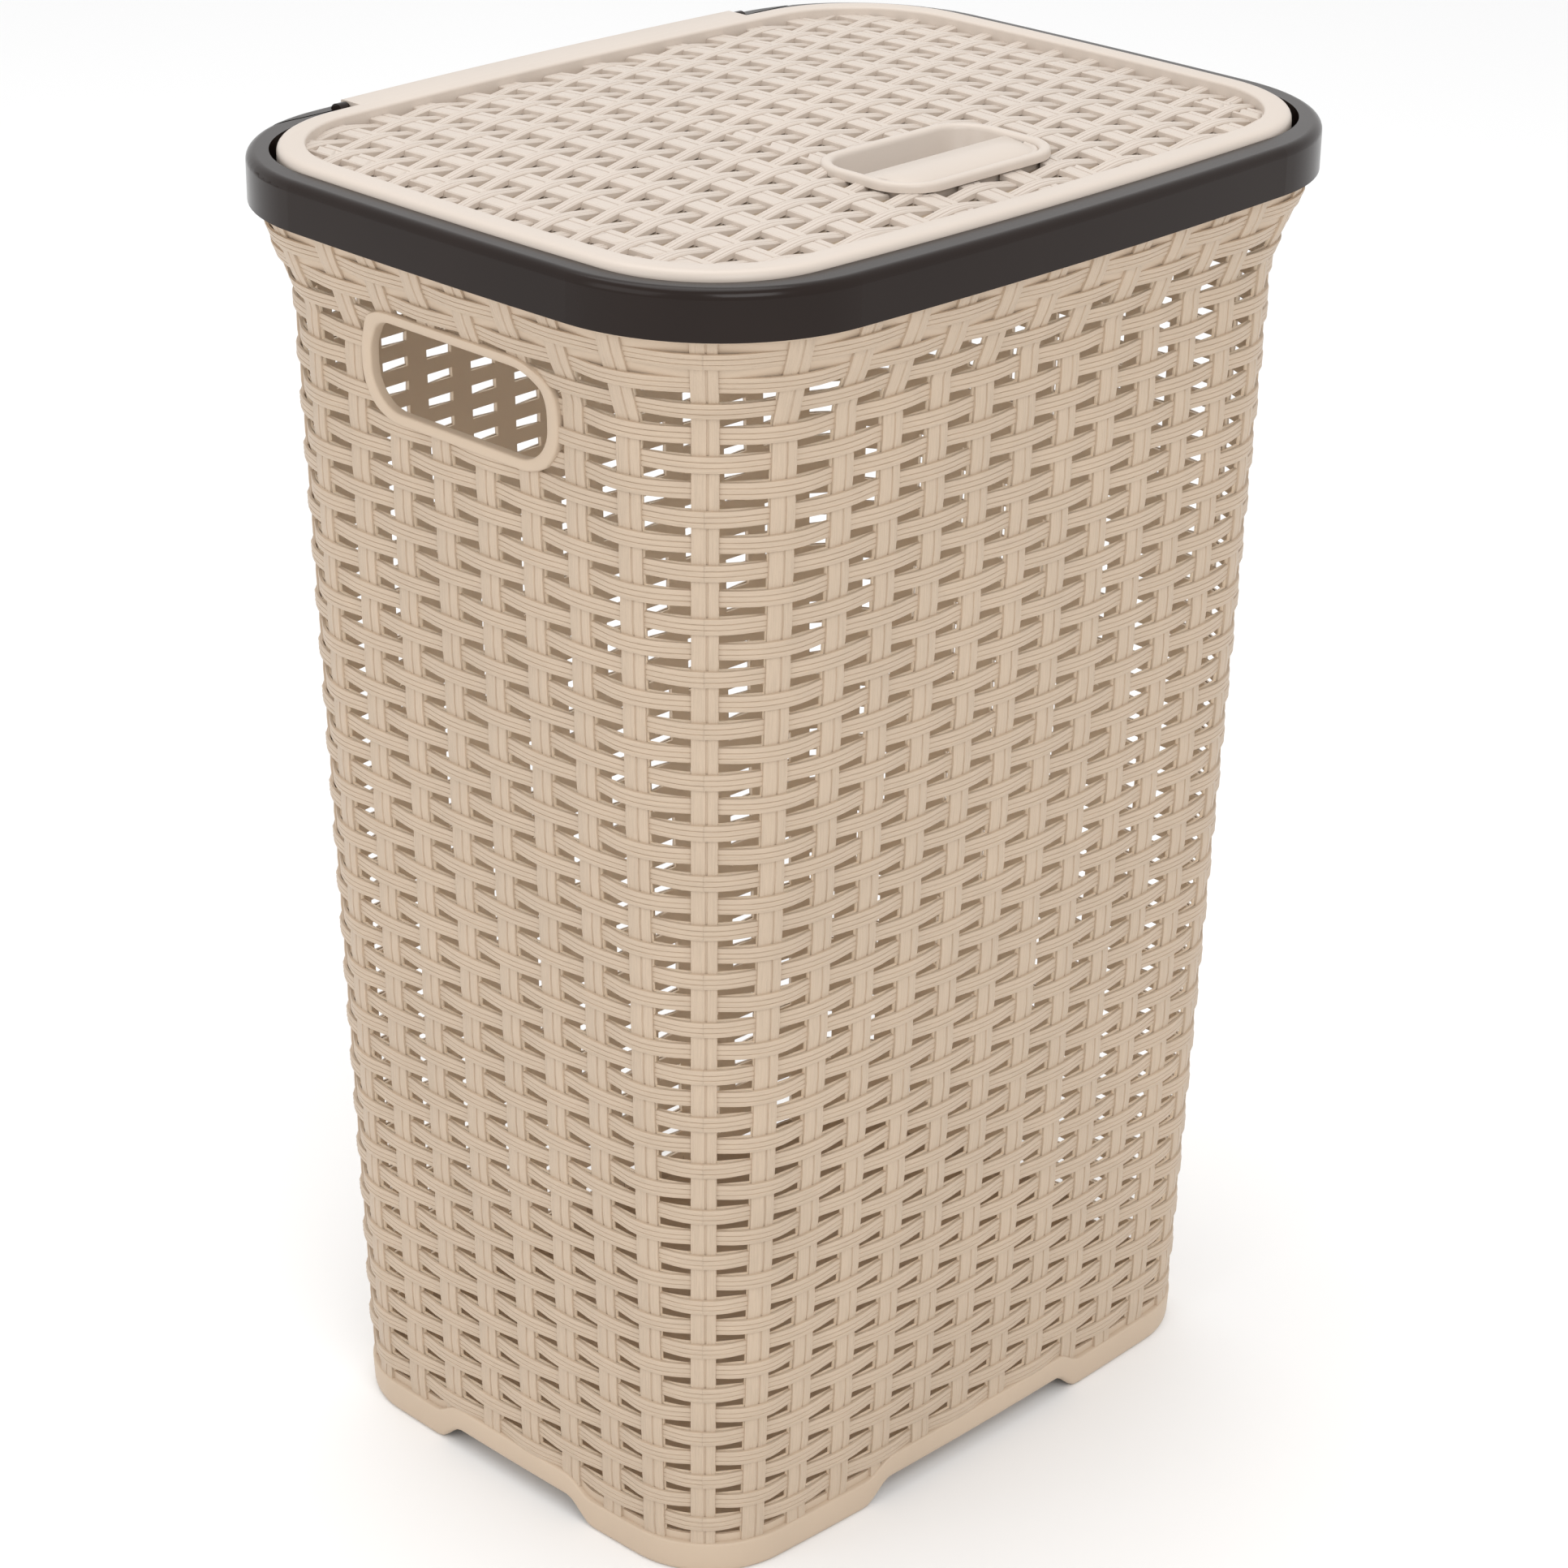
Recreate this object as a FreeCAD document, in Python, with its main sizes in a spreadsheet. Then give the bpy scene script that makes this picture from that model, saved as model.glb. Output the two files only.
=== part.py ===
import FreeCAD, Part

import math
import os

import Sketcher

os.makedirs("parts", exist_ok=True)
doc = FreeCAD.newDocument("hamper")

# Driving dimensions in millimetres and degrees. Each outline of the basket and of the
# rim ring is the base outline grown outwards by one distance all the way round.
sizes = {
    # basket
    "base_length": 343.0,
    "base_depth": 257.6,
    "base_corner": 46.0,
    "front_arc": 2500.0,        # large radius that bows the front and the back
    "side_arc": 3000.0,         # large radius that bows the two short sides
    "wall_draft": 1.99,         # lean of the wall, in degrees
    "wall_thickness": 2.6,
    "flare_rise": 38.5,         # height of the flare, under the ring
    "rim_height": 576.5,        # where the flare ends and the ring begins
    "flare_out": 15.0,
    "floor_height": 12.0,
    "floor_thickness": 2.6,
    "arch_height": 10.0,
    "arch_slope": 16.0,         # run of the sloped end of each arch
    "front_arch": 114.0,
    "side_arch": 72.0,
    "hole_length": 105.0,
    "hole_width": 39.0,
    "hole_corner": 17.0,
    "hole_drop": 50.5,          # from the ring down to the middle of each hand hole
    "bezel_width": 5.5,
    "bezel_proud": 1.8,
    # rim ring
    "ring_fit": 0.3,
    "ring_wall": 2.0,
    "ring_height": 20.5,
    "ring_round": 4.0,
    "ring_rounder": 14.0,       # corner of the ring's inner edge, over the base's
    "ledge_width": 6.0,
    "ledge_rise": 7.5,
    "ledge_thickness": 2.0,
    # lid
    "lid_shorter": 20.39,       # the lid's length under the rim's
    "lid_shallower": 24.99,     # the lid's depth under the rim's
    "lid_rounder": 20.0,        # corner of the lid, over the base's
    "lid_gap": 0.7,
    "lid_rise": 23.5,
    "lid_wall": 2.0,
    "lid_rest": 0.3,
    "lid_round": 1.2,
    "border_width": 12.0,
    "border_thickness": 2.4,
    "step_depth": 9.0,          # height of the border's inner wall
    "dome_rise": 27.5,          # the panel is a shallow dome about the middle
    "dome_radius": 1850.0,
    "panel_thickness": 2.0,
    # hinge
    "flap_length": 232.0,
    "flap_overreach": 9.3,      # of the flap's rear edge, past the lid's edge
    "flap_gap": 0.5,
    "flap_lip": 1.8,
    "flap_lip_height": 3.6,
    "ear_thickness": 5.0,
    "ear_radius": 4.0,
    "hinge_overreach": 2.8,
    "hinge_rise": 19.1,
    "knuckle_radius": 3.3,
    "knuckle_length": 24.0,
    "notch_rise": 11.0,
    "notch_clear": 0.6,
    "pin_radius": 1.5,
    "pin_play": 0.05,
    "pin_length": 21.0,
    "pin_chamfer": 0.4,
    # grip cup
    "grip_inset": 69.0,         # of the cup's middle from the lid's front
    "grip_length": 97.0,
    "grip_depth": 61.0,
    "grip_corner": 20.0,
    "grip_bezel": 5.0,
    "grip_drop": 0.8,           # depth of the bezel's top below the dome's
    "grip_rise": 4.2,           # height of the bezel above its seat
    "seat_wall": 2.0,
    "cup_depth": 20.0,
    "cup_wall": 1.6,
    "cup_gap": 0.25,
    "plate_depth": 27.0,
    "plate_thickness": 2.0,
    "plate_drop": 0.8,
}
# Levels that follow the rim's height, and lengths of the lid that follow the rim.
derived = {
    "flare_height": "( rim_height - flare_rise )",
    "hole_level": "( rim_height - hole_drop )",
    "ring_top": "( rim_height + ring_height )",
    "ledge_height": "( rim_height + ledge_rise )",
    "lid_top": "( rim_height + lid_rise )",
    "dome_top": "( rim_height + dome_rise )",
    "hinge_level": "( rim_height + hinge_rise )",
    "notch_floor": "( rim_height + notch_rise )",
    "rim_widening": "( 2 * flare_height * tan( wall_draft * 1deg ) + 2 * flare_out )",
    "lid_length": "( base_length + rim_widening - lid_shorter )",
    "lid_depth": "( base_depth + rim_widening - lid_shallower )",
    "lid_corner": "( base_corner + lid_rounder )",
    "ring_corner": "( base_corner + ring_rounder )",
    "flap_reach": "( lid_depth / 2 + flap_overreach )",
    "hinge_reach": "( lid_depth / 2 + hinge_overreach )",
    "grip_offset": "( lid_depth / 2 - grip_inset )",
}
sheet = doc.addObject("Spreadsheet::Sheet", "sizes")
for row, (alias, number) in enumerate(sizes.items(), start=1):
    sheet.set(f"A{row}", alias)
    sheet.set(f"B{row}", str(number))
    sheet.setAlias(f"B{row}", alias)
doc.recompute()


def named(expression):
    """The same expression with derived lengths spelled out and the sheet's name added."""
    words = expression.split(" ")
    while any(word in derived for word in words):
        words = " ".join(derived.get(word, word) for word in words).split(" ")
    return " ".join(f"sizes.{word}" if word in sizes else word for word in words)


def worked_out(expression):
    """The number an expression gives, for the first drawing of a sketch."""
    result = sheet.evalExpression(named(expression))
    return float(getattr(result, "Value", result))


def bind(thing, prop, expression):
    thing.setExpression(prop, named(expression))


# Lengths that several pieces share.
lean = "tan( wall_draft * 1deg )"
flare_grow = f"flare_height * {lean}"
rim_grow = f"( {flare_grow} + flare_out )"
ring_grow = f"( {rim_grow} + ring_fit + ring_wall )"
step_foot = "( lid_top - step_depth )"
bezel_top = "( dome_top - grip_drop )"
seat_level = f"( {bezel_top} - grip_rise )"
lip_height = "( ring_top - ring_wall )"
skirt_foot = "( ledge_height + ledge_thickness + lid_rest )"
ear_start = "( flap_length / 2 + flap_gap )"


def new_body(name):
    body = doc.addObject("PartDesign::Body", name)
    body.Label = name
    return body


def new_sketch(body, name, plane, level="0", shift="0", tilt=None):
    """A sketch on one of the body's own planes: level moves it along the plane's
    normal, shift moves it up the plane, and tilt leans it about its own x axis."""
    sketch = body.newObject("Sketcher::SketchObject", name)
    support = next(item for item in body.Origin.OriginFeatures if item.Role == plane)
    sketch.AttachmentSupport = [(support, "")]
    sketch.MapMode = "FlatFace"
    if tilt is not None:
        turn = FreeCAD.Rotation(FreeCAD.Vector(1, 0, 0), worked_out(tilt))
        sketch.AttachmentOffset = FreeCAD.Placement(FreeCAD.Vector(), turn)
    bind(sketch, "AttachmentOffset.Base.z", level)
    bind(sketch, "AttachmentOffset.Base.y", shift)
    return sketch


def dimension(sketch, label, kind, where, expression):
    """A named dimension of the sketch that follows an expression."""
    label = f"{label}_{sketch.ConstraintCount}"
    index = sketch.addConstraint(Sketcher.Constraint(kind, *where, worked_out(expression)))
    sketch.renameConstraint(index, label)
    bind(sketch, f"Constraints.{label}", expression)


def arc(centre_x, centre_y, radius, start, end):
    circle = Part.Circle(FreeCAD.Vector(centre_x, centre_y, 0), FreeCAD.Vector(0, 0, 1), radius)
    return Part.ArcOfCircle(circle, start, end)


def join_in_loop(sketch, first, count):
    """Tangent joints between neighbours, all the way round."""
    for step in range(count):
        following = first + (step + 1) % count
        sketch.addConstraint(Sketcher.Constraint("Tangent", first + step, 2, following, 1))


def draw_bowed_outline(sketch, half_x, half_y, corner, front, side):
    """Four large arcs for the sides and four small ones for the corners."""
    a, b, r = worked_out(half_x), worked_out(half_y), worked_out(corner)
    big_front, big_side = worked_out(front), worked_out(side)
    front_shift, side_shift = big_front - b, big_side - a
    # The corner's centre lies big_front - r from one large centre and big_side - r
    # from the other: the two circles' crossing.
    span = math.hypot(side_shift, front_shift)
    reach_side, reach_front = big_side - r, big_front - r
    along = (reach_side ** 2 - reach_front ** 2 + span ** 2) / (2 * span)
    across = math.sqrt(reach_side ** 2 - along ** 2)
    unit_x, unit_y = side_shift / span, -front_shift / span
    corner_x = -side_shift + along * unit_x - across * unit_y
    corner_y = along * unit_y + across * unit_x
    turn_side = math.atan2(corner_y, corner_x + side_shift)
    turn_front = math.atan2(corner_y + front_shift, corner_x)
    pi = math.pi
    first = sketch.GeometryCount
    arcs = [
        arc(-side_shift, 0, big_side, -turn_side, turn_side),
        arc(corner_x, corner_y, r, turn_side, turn_front),
        arc(0, -front_shift, big_front, turn_front, pi - turn_front),
        arc(-corner_x, corner_y, r, pi - turn_front, pi - turn_side),
        arc(side_shift, 0, big_side, pi - turn_side, pi + turn_side),
        arc(-corner_x, -corner_y, r, pi + turn_side, pi + turn_front),
        arc(0, front_shift, big_front, pi + turn_front, 2 * pi - turn_front),
        arc(corner_x, -corner_y, r, 2 * pi - turn_front, 2 * pi - turn_side),
    ]
    sketch.addGeometry(arcs, False)
    join_in_loop(sketch, first, len(arcs))
    right, back, left, front_side = first, first + 2, first + 4, first + 6
    for side_arc, axis in ((right, -1), (left, -1), (back, -2), (front_side, -2)):
        sketch.addConstraint(Sketcher.Constraint("PointOnObject", side_arc, 3, axis))
    dimension(sketch, "left_centre", "DistanceX", (-1, 1, left, 3), f"{side} - {half_x}")
    dimension(sketch, "right_centre", "DistanceX", (right, 3, -1, 1), f"{side} - {half_x}")
    dimension(sketch, "front_centre", "DistanceY", (-1, 1, front_side, 3), f"{front} - {half_y}")
    dimension(sketch, "back_centre", "DistanceY", (back, 3, -1, 1), f"{front} - {half_y}")
    sketch.addConstraint(Sketcher.Constraint("Equal", right, left))
    sketch.addConstraint(Sketcher.Constraint("Equal", back, front_side))
    for other in (3, 5, 7):
        sketch.addConstraint(Sketcher.Constraint("Equal", first + 1, first + other))
    dimension(sketch, "side_radius", "Radius", (right,), side)
    dimension(sketch, "front_radius", "Radius", (back,), front)
    dimension(sketch, "corner_radius", "Radius", (first + 1,), corner)


def draw_base_outline(sketch, grow):
    """The base outline grown by a distance all the way round."""
    draw_bowed_outline(sketch, f"( base_length / 2 + {grow} )", f"( base_depth / 2 + {grow} )",
                       f"( base_corner + {grow} )", f"( front_arc + {grow} )",
                       f"( side_arc + {grow} )")


def draw_lid_outline(sketch, inset, corner="lid_corner"):
    """The lid's outline, drawn in by a distance all the way round."""
    draw_bowed_outline(sketch, f"( lid_length / 2 - {inset} )", f"( lid_depth / 2 - {inset} )",
                       f"( {corner} - {inset} )", f"( front_arc - {inset} )",
                       f"( side_arc - {inset} )")


def draw_rounded_rectangle(sketch, length, height, corner):
    """A rectangle with round corners, centred on the sketch's own origin."""
    half_x, half_y, r = worked_out(length) / 2, worked_out(height) / 2, worked_out(corner)
    x, y, pi = half_x - r, half_y - r, math.pi
    point = FreeCAD.Vector
    first = sketch.GeometryCount
    sketch.addGeometry([
        Part.LineSegment(point(-x, -half_y, 0), point(x, -half_y, 0)),
        arc(x, -y, r, -pi / 2, 0),
        Part.LineSegment(point(half_x, -y, 0), point(half_x, y, 0)),
        arc(x, y, r, 0, pi / 2),
        Part.LineSegment(point(x, half_y, 0), point(-x, half_y, 0)),
        arc(-x, y, r, pi / 2, pi),
        Part.LineSegment(point(-half_x, y, 0), point(-half_x, -y, 0)),
        arc(-x, -y, r, pi, 3 * pi / 2),
    ], False)
    join_in_loop(sketch, first, 8)
    for line, kind in ((0, "Horizontal"), (2, "Vertical"), (4, "Horizontal"), (6, "Vertical")):
        sketch.addConstraint(Sketcher.Constraint(kind, first + line))
    for other in (3, 5, 7):
        sketch.addConstraint(Sketcher.Constraint("Equal", first + 1, first + other))
    sketch.addConstraint(Sketcher.Constraint("Symmetric", first + 1, 3, first + 5, 3, -1, 1))
    dimension(sketch, "corner_radius", "Radius", (first + 1,), corner)
    dimension(sketch, "centres_x", "DistanceX", (first + 5, 3, first + 3, 3),
              f"{length} - 2 * {corner}")
    dimension(sketch, "centres_y", "DistanceY", (first + 1, 3, first + 3, 3),
              f"{height} - 2 * {corner}")


def draw_polygon(sketch, corners):
    """A closed polygon whose corners are pairs of expressions."""
    points = [FreeCAD.Vector(worked_out(x), worked_out(y), 0) for x, y in corners]
    first = sketch.GeometryCount
    for index, point in enumerate(points):
        following = points[(index + 1) % len(points)]
        sketch.addGeometry(Part.LineSegment(point, following), False)
    for index, (x, y) in enumerate(corners):
        following = first + (index + 1) % len(corners)
        line = first + index
        sketch.addConstraint(Sketcher.Constraint("Coincident", line, 2, following, 1))
        place_point(sketch, line, 1, x, y)


def place_point(sketch, geometry, point, x, y):
    """Hold a point at x, y. A sketch takes no negative distance, so the two ends swap."""
    for kind, expression in (("DistanceX", x), ("DistanceY", y)):
        number = worked_out(expression)
        if number == 0:
            axis = -2 if kind == "DistanceX" else -1
            sketch.addConstraint(Sketcher.Constraint("PointOnObject", geometry, point, axis))
        elif number > 0:
            dimension(sketch, "place", kind, (-1, 1, geometry, point), expression)
        else:
            dimension(sketch, "place", kind, (geometry, point, -1, 1), f"-1 * ( {expression} )")


def draw_circle(sketch, x, y, radius):
    centre = FreeCAD.Vector(worked_out(x), worked_out(y), 0)
    index = sketch.GeometryCount
    sketch.addGeometry(Part.Circle(centre, FreeCAD.Vector(0, 0, 1), worked_out(radius)), False)
    place_point(sketch, index, 3, x, y)
    dimension(sketch, "circle_radius", "Radius", (index,), radius)


def finish_feature(body, feature, adds):
    """Recompute and make sure that the feature added or removed material."""
    before = body.BaseVolume
    doc.recompute()
    volume = body.Shape.Volume
    if (volume > before + 1e-3) != adds:
        raise RuntimeError(f"{feature.Name} has no effect: {before:.1f} to {volume:.1f} mm3")
    body.BaseVolume = volume


def extrude(body, kind, name, sketch, length, up=True, both=False):
    """A Pad or a Pocket from the sketch, along its normal when up is true."""
    feature = body.newObject(f"PartDesign::{kind}", name)
    feature.Profile = sketch
    if length is None:
        feature.Type = "ThroughAll"
    else:
        bind(feature, "Length", length)
    if both:
        feature.SideType = "Symmetric"
    else:
        feature.Reversed = up if kind == "Pocket" else not up
    sketch.Visibility = False
    finish_feature(body, feature, adds=kind == "Pad")
    return feature


def loft(body, kind, name, lower, upper):
    feature = body.newObject(f"PartDesign::{kind}", name)
    feature.Profile = lower
    feature.Sections = [(upper, [""])]
    feature.Ruled = True
    finish_feature(body, feature, adds=kind == "AdditiveLoft")
    return feature


def level_edges(feature, level):
    """The names of the feature's edges that lie flat at one height."""
    height = worked_out(level)
    names = []
    for index, edge in enumerate(feature.Shape.Edges, start=1):
        box = edge.BoundBox
        if abs(box.ZMin - height) < 1e-4 and abs(box.ZMax - height) < 1e-4:
            names.append(f"Edge{index}")
    return names


def fillet(body, name, feature, level, radius):
    """Round every edge of the feature that lies flat at one height."""
    rounding = body.newObject("PartDesign::Fillet", name)
    rounding.Base = (feature, level_edges(feature, level))
    rounding.Radius = worked_out(radius)
    bind(rounding, "Radius", radius)
    doc.recompute()
    body.BaseVolume = body.Shape.Volume
    return rounding


def track_volume(body):
    body.addProperty("App::PropertyFloat", "BaseVolume", "Check")
    body.BaseVolume = 0.0


def basket_sketch(body, name, level, grow):
    sketch = new_sketch(body, name, "XY_Plane", level)
    draw_base_outline(sketch, grow)
    return sketch


def make_basket_body():
    """One moulding: tapered wall, flare, lip, raised floor, arched foot, hand holes."""
    body = new_body("basket_body")
    track_volume(body)
    inner = "- wall_thickness"
    loft(body, "AdditiveLoft", "wall_outside",
         basket_sketch(body, "wall_foot", "0", "0"),
         basket_sketch(body, "wall_head", "flare_height", flare_grow))
    loft(body, "AdditiveLoft", "flare_outside",
         basket_sketch(body, "flare_foot", "flare_height", flare_grow),
         basket_sketch(body, "flare_head", "rim_height", rim_grow))
    extrude(body, "Pad", "lip_outside", basket_sketch(body, "lip_foot", "rim_height", rim_grow),
            f"{lip_height} - rim_height")

    # The bezels lean with the short walls and reach through them; the inside cuts them flush.
    for side, direction in (("right", 1), ("left", -1)):
        face = f"( base_length / 2 + hole_level * {lean} + bezel_proud )"
        tilt = "wall_draft" if direction > 0 else "-1 * wall_draft"
        sketch = new_sketch(body, f"{side}_bezel_outline", "YZ_Plane",
                            f"{direction} * {face}", "hole_level", tilt)
        draw_rounded_rectangle(sketch, "( hole_length + 2 * bezel_width )",
                               "( hole_width + 2 * bezel_width )",
                               "( hole_corner + bezel_width )")
        extrude(body, "Pad", f"{side}_bezel", sketch, "bezel_proud + wall_thickness",
                up=direction < 0)

    floor_top = "( floor_height + floor_thickness )"
    loft(body, "SubtractiveLoft", "wall_inside",
         basket_sketch(body, "inside_foot", floor_top,
                       f"( {floor_top} * {lean} {inner} )"),
         basket_sketch(body, "inside_head", "flare_height", f"( {flare_grow} {inner} )"))
    loft(body, "SubtractiveLoft", "flare_inside",
         basket_sketch(body, "flare_inside_foot", "flare_height", f"( {flare_grow} {inner} )"),
         basket_sketch(body, "flare_inside_head", "rim_height", f"( {rim_grow} {inner} )"))
    extrude(body, "Pocket", "lip_inside",
            basket_sketch(body, "lip_inside_foot", "rim_height", f"( {rim_grow} {inner} )"),
            f"{lip_height} - rim_height")
    loft(body, "SubtractiveLoft", "under_floor",
         basket_sketch(body, "hollow_foot", "0", "( 0 - wall_thickness )"),
         basket_sketch(body, "hollow_head", "floor_height", f"( floor_height * {lean} {inner} )"))

    for plane, width, reach in (("XZ_Plane", "front_arch", "base_depth"),
                                ("YZ_Plane", "side_arch", "base_length")):
        sketch = new_sketch(body, f"{width}_outline", plane)
        foot = f"{width} / 2 + arch_slope"
        draw_polygon(sketch, [(f"-1 * ( {foot} )", "0"), (foot, "0"),
                              (f"{width} / 2", "arch_height"),
                              (f"-1 * {width} / 2", "arch_height")])
        extrude(body, "Pocket", width, sketch, f"2 * {reach}", both=True)

    sketch = new_sketch(body, "hand_hole_outline", "YZ_Plane", "0", "hole_level")
    draw_rounded_rectangle(sketch, "hole_length", "hole_width", "hole_corner")
    extrude(body, "Pocket", "hand_holes", sketch, "2 * base_length", both=True)

    # The lip is cut away behind the hinge, to clear the ears and the flap.
    sketch = new_sketch(body, "lip_notch_outline", "XZ_Plane")
    reach = f"{ear_start} + ear_thickness + notch_clear"
    floor = "notch_floor - notch_clear"
    draw_polygon(sketch, [(f"-1 * ( {reach} )", floor), (reach, floor),
                          (reach, "ring_top"), (f"-1 * ( {reach} )", "ring_top")])
    extrude(body, "Pocket", "lip_notch", sketch, "base_depth", up=False)
    return body


def draw_ring_mouth(sketch, outset):
    """The ring's inner edge, which follows the lid at one gap but has tighter corners."""
    grow = f"( lid_gap + {outset} )"
    draw_bowed_outline(sketch, f"( lid_length / 2 + {grow} )", f"( lid_depth / 2 + {grow} )",
                       f"( ring_corner + {outset} )", f"( front_arc + {grow} )",
                       f"( side_arc + {grow} )")


def draw_ear(sketch):
    """A tab with a round top about the hinge line: three lines and one arc."""
    x, y = worked_out("hinge_reach"), worked_out("hinge_level")
    r, foot = worked_out("ear_radius"), worked_out("notch_floor")
    point = FreeCAD.Vector
    sketch.addGeometry([
        Part.LineSegment(point(x - r, foot, 0), point(x + r, foot, 0)),
        Part.LineSegment(point(x + r, foot, 0), point(x + r, y, 0)),
        arc(x, y, r, 0, math.pi),
        Part.LineSegment(point(x - r, y, 0), point(x - r, foot, 0)),
    ], False)
    sketch.addConstraint(Sketcher.Constraint("Coincident", 0, 2, 1, 1))
    sketch.addConstraint(Sketcher.Constraint("Tangent", 1, 2, 2, 1))
    sketch.addConstraint(Sketcher.Constraint("Tangent", 2, 2, 3, 1))
    sketch.addConstraint(Sketcher.Constraint("Coincident", 3, 2, 0, 1))
    sketch.addConstraint(Sketcher.Constraint("Horizontal", 0))
    sketch.addConstraint(Sketcher.Constraint("Vertical", 1))
    sketch.addConstraint(Sketcher.Constraint("Vertical", 3))
    dimension(sketch, "radius", "Radius", (2,), "ear_radius")
    place_point(sketch, 2, 3, "hinge_reach", "hinge_level")
    dimension(sketch, "foot", "DistanceY", (-1, 1, 0, 1), "notch_floor")


def make_rim_ring():
    """The snap-on collar: an upside-down channel with a ledge for the lid, and two
    ears that hold the hinge pins at the ends of a notch in its back."""
    body = new_body("rim_ring")
    track_volume(body)
    block = extrude(body, "Pad", "ring_block",
                    basket_sketch(body, "ring_outline", "rim_height", ring_grow),
                    "ring_top - rim_height")
    fillet(body, "ring_rounding", block, "ring_top", "ring_round")
    roof = "( ring_top - ring_wall )"
    extrude(body, "Pocket", "channel",
            basket_sketch(body, "channel_outline", "rim_height", f"( {ring_grow} - ring_wall )"),
            f"{roof} - rim_height")
    sketch = new_sketch(body, "mouth_outline", "XY_Plane", "rim_height")
    draw_ring_mouth(sketch, "0")
    extrude(body, "Pocket", "mouth", sketch, None)
    sketch = new_sketch(body, "skirt_outline", "XY_Plane", "ledge_height")
    draw_ring_mouth(sketch, "ring_wall")
    draw_ring_mouth(sketch, "0")
    extrude(body, "Pad", "skirt", sketch, f"{roof} - ledge_height")
    sketch = new_sketch(body, "ledge_outline", "XY_Plane", "ledge_height")
    draw_ring_mouth(sketch, "ring_wall")
    draw_ring_mouth(sketch, "-1 * ledge_width")
    extrude(body, "Pad", "ledge", sketch, "ledge_thickness")

    sketch = new_sketch(body, "notch_outline", "XZ_Plane", "-1 * ( lid_depth / 2 - lid_wall )")
    draw_polygon(sketch, [(f"-1 * {ear_start}", "notch_floor"), (ear_start, "notch_floor"),
                          (ear_start, "ring_top + 1"), (f"-1 * {ear_start}", "ring_top + 1")])
    extrude(body, "Pocket", "notch", sketch, "base_depth / 2", up=False)
    for side, level in (("right", ear_start), ("left", f"-1 * {ear_start}")):
        sketch = new_sketch(body, f"{side}_ear_outline", "YZ_Plane", level)
        draw_ear(sketch)
        extrude(body, "Pad", f"{side}_ear", sketch, "ear_thickness", up=side == "right")
    sketch = new_sketch(body, "pin_hole_outline", "YZ_Plane")
    draw_circle(sketch, "hinge_reach", "hinge_level", "pin_radius")
    extrude(body, "Pocket", "pin_holes", sketch, "2 * flap_length", both=True)
    return body


def draw_flap(sketch, near):
    """A strip as long as the flap, between its rear edge and a nearer concentric edge."""
    half, reach, big = worked_out("flap_length / 2"), worked_out("flap_reach"), worked_out("front_arc")
    centre, small = reach - big, worked_out(f"front_arc - flap_reach + {near}")
    turn, near_turn = math.asin(half / big), math.asin(half / small)
    start, end = centre + small * math.cos(near_turn), centre + big * math.cos(turn)
    point = FreeCAD.Vector
    sketch.addGeometry([
        arc(0, centre, small, math.pi / 2 - near_turn, math.pi / 2 + near_turn),
        Part.LineSegment(point(half, start, 0), point(half, end, 0)),
        arc(0, centre, big, math.pi / 2 - turn, math.pi / 2 + turn),
        Part.LineSegment(point(-half, end, 0), point(-half, start, 0)),
    ], False)
    for first, first_end, second, second_end in ((0, 1, 1, 1), (1, 2, 2, 1), (2, 2, 3, 1),
                                                 (3, 2, 0, 2), (0, 3, 2, 3)):
        sketch.addConstraint(
            Sketcher.Constraint("Coincident", first, first_end, second, second_end))
    sketch.addConstraint(Sketcher.Constraint("Vertical", 1))
    sketch.addConstraint(Sketcher.Constraint("Vertical", 3))
    sketch.addConstraint(Sketcher.Constraint("PointOnObject", 2, 3, -2))
    dimension(sketch, "rear_radius", "Radius", (2,), "front_arc")
    dimension(sketch, "near_radius", "Radius", (0,), f"front_arc - flap_reach + {near}")
    dimension(sketch, "rear_centre", "DistanceY", (2, 3, -1, 1), "front_arc - flap_reach")
    dimension(sketch, "right_end", "DistanceX", (-1, 1, 1, 1), "flap_length / 2")
    dimension(sketch, "left_end", "DistanceX", (3, 2, -1, 1), "flap_length / 2")


def draw_dome_profile(sketch, top, radius, reach, far_level):
    """Half a section: from the axis along the dome's arc, and back at another level."""
    high, big, out, far = (worked_out(item) for item in (top, radius, reach, far_level))
    turn = math.asin(out / big)
    low = high - big + big * math.cos(turn)
    point = FreeCAD.Vector
    sketch.addGeometry([
        arc(0, high - big, big, math.pi / 2 - turn, math.pi / 2),
        Part.LineSegment(point(0, high, 0), point(0, far, 0)),
        Part.LineSegment(point(0, far, 0), point(out, far, 0)),
        Part.LineSegment(point(out, far, 0), point(out, low, 0)),
    ], False)
    for first, first_end, second in ((0, 2, 1), (1, 2, 2), (2, 2, 3)):
        sketch.addConstraint(Sketcher.Constraint("Coincident", first, first_end, second, 1))
    sketch.addConstraint(Sketcher.Constraint("Coincident", 3, 2, 0, 1))
    sketch.addConstraint(Sketcher.Constraint("PointOnObject", 0, 3, -2))
    sketch.addConstraint(Sketcher.Constraint("PointOnObject", 1, 1, -2))
    sketch.addConstraint(Sketcher.Constraint("PointOnObject", 1, 2, -2))
    sketch.addConstraint(Sketcher.Constraint("Horizontal", 2))
    sketch.addConstraint(Sketcher.Constraint("Vertical", 3))
    dimension(sketch, "dome_radius", "Radius", (0,), radius)
    dimension(sketch, "top", "DistanceY", (-1, 1, 1, 1), top)
    dimension(sketch, "reach", "DistanceX", (-1, 1, 2, 2), reach)
    dimension(sketch, "far_level", "DistanceY", (-1, 1, 2, 2), far_level)


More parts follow.
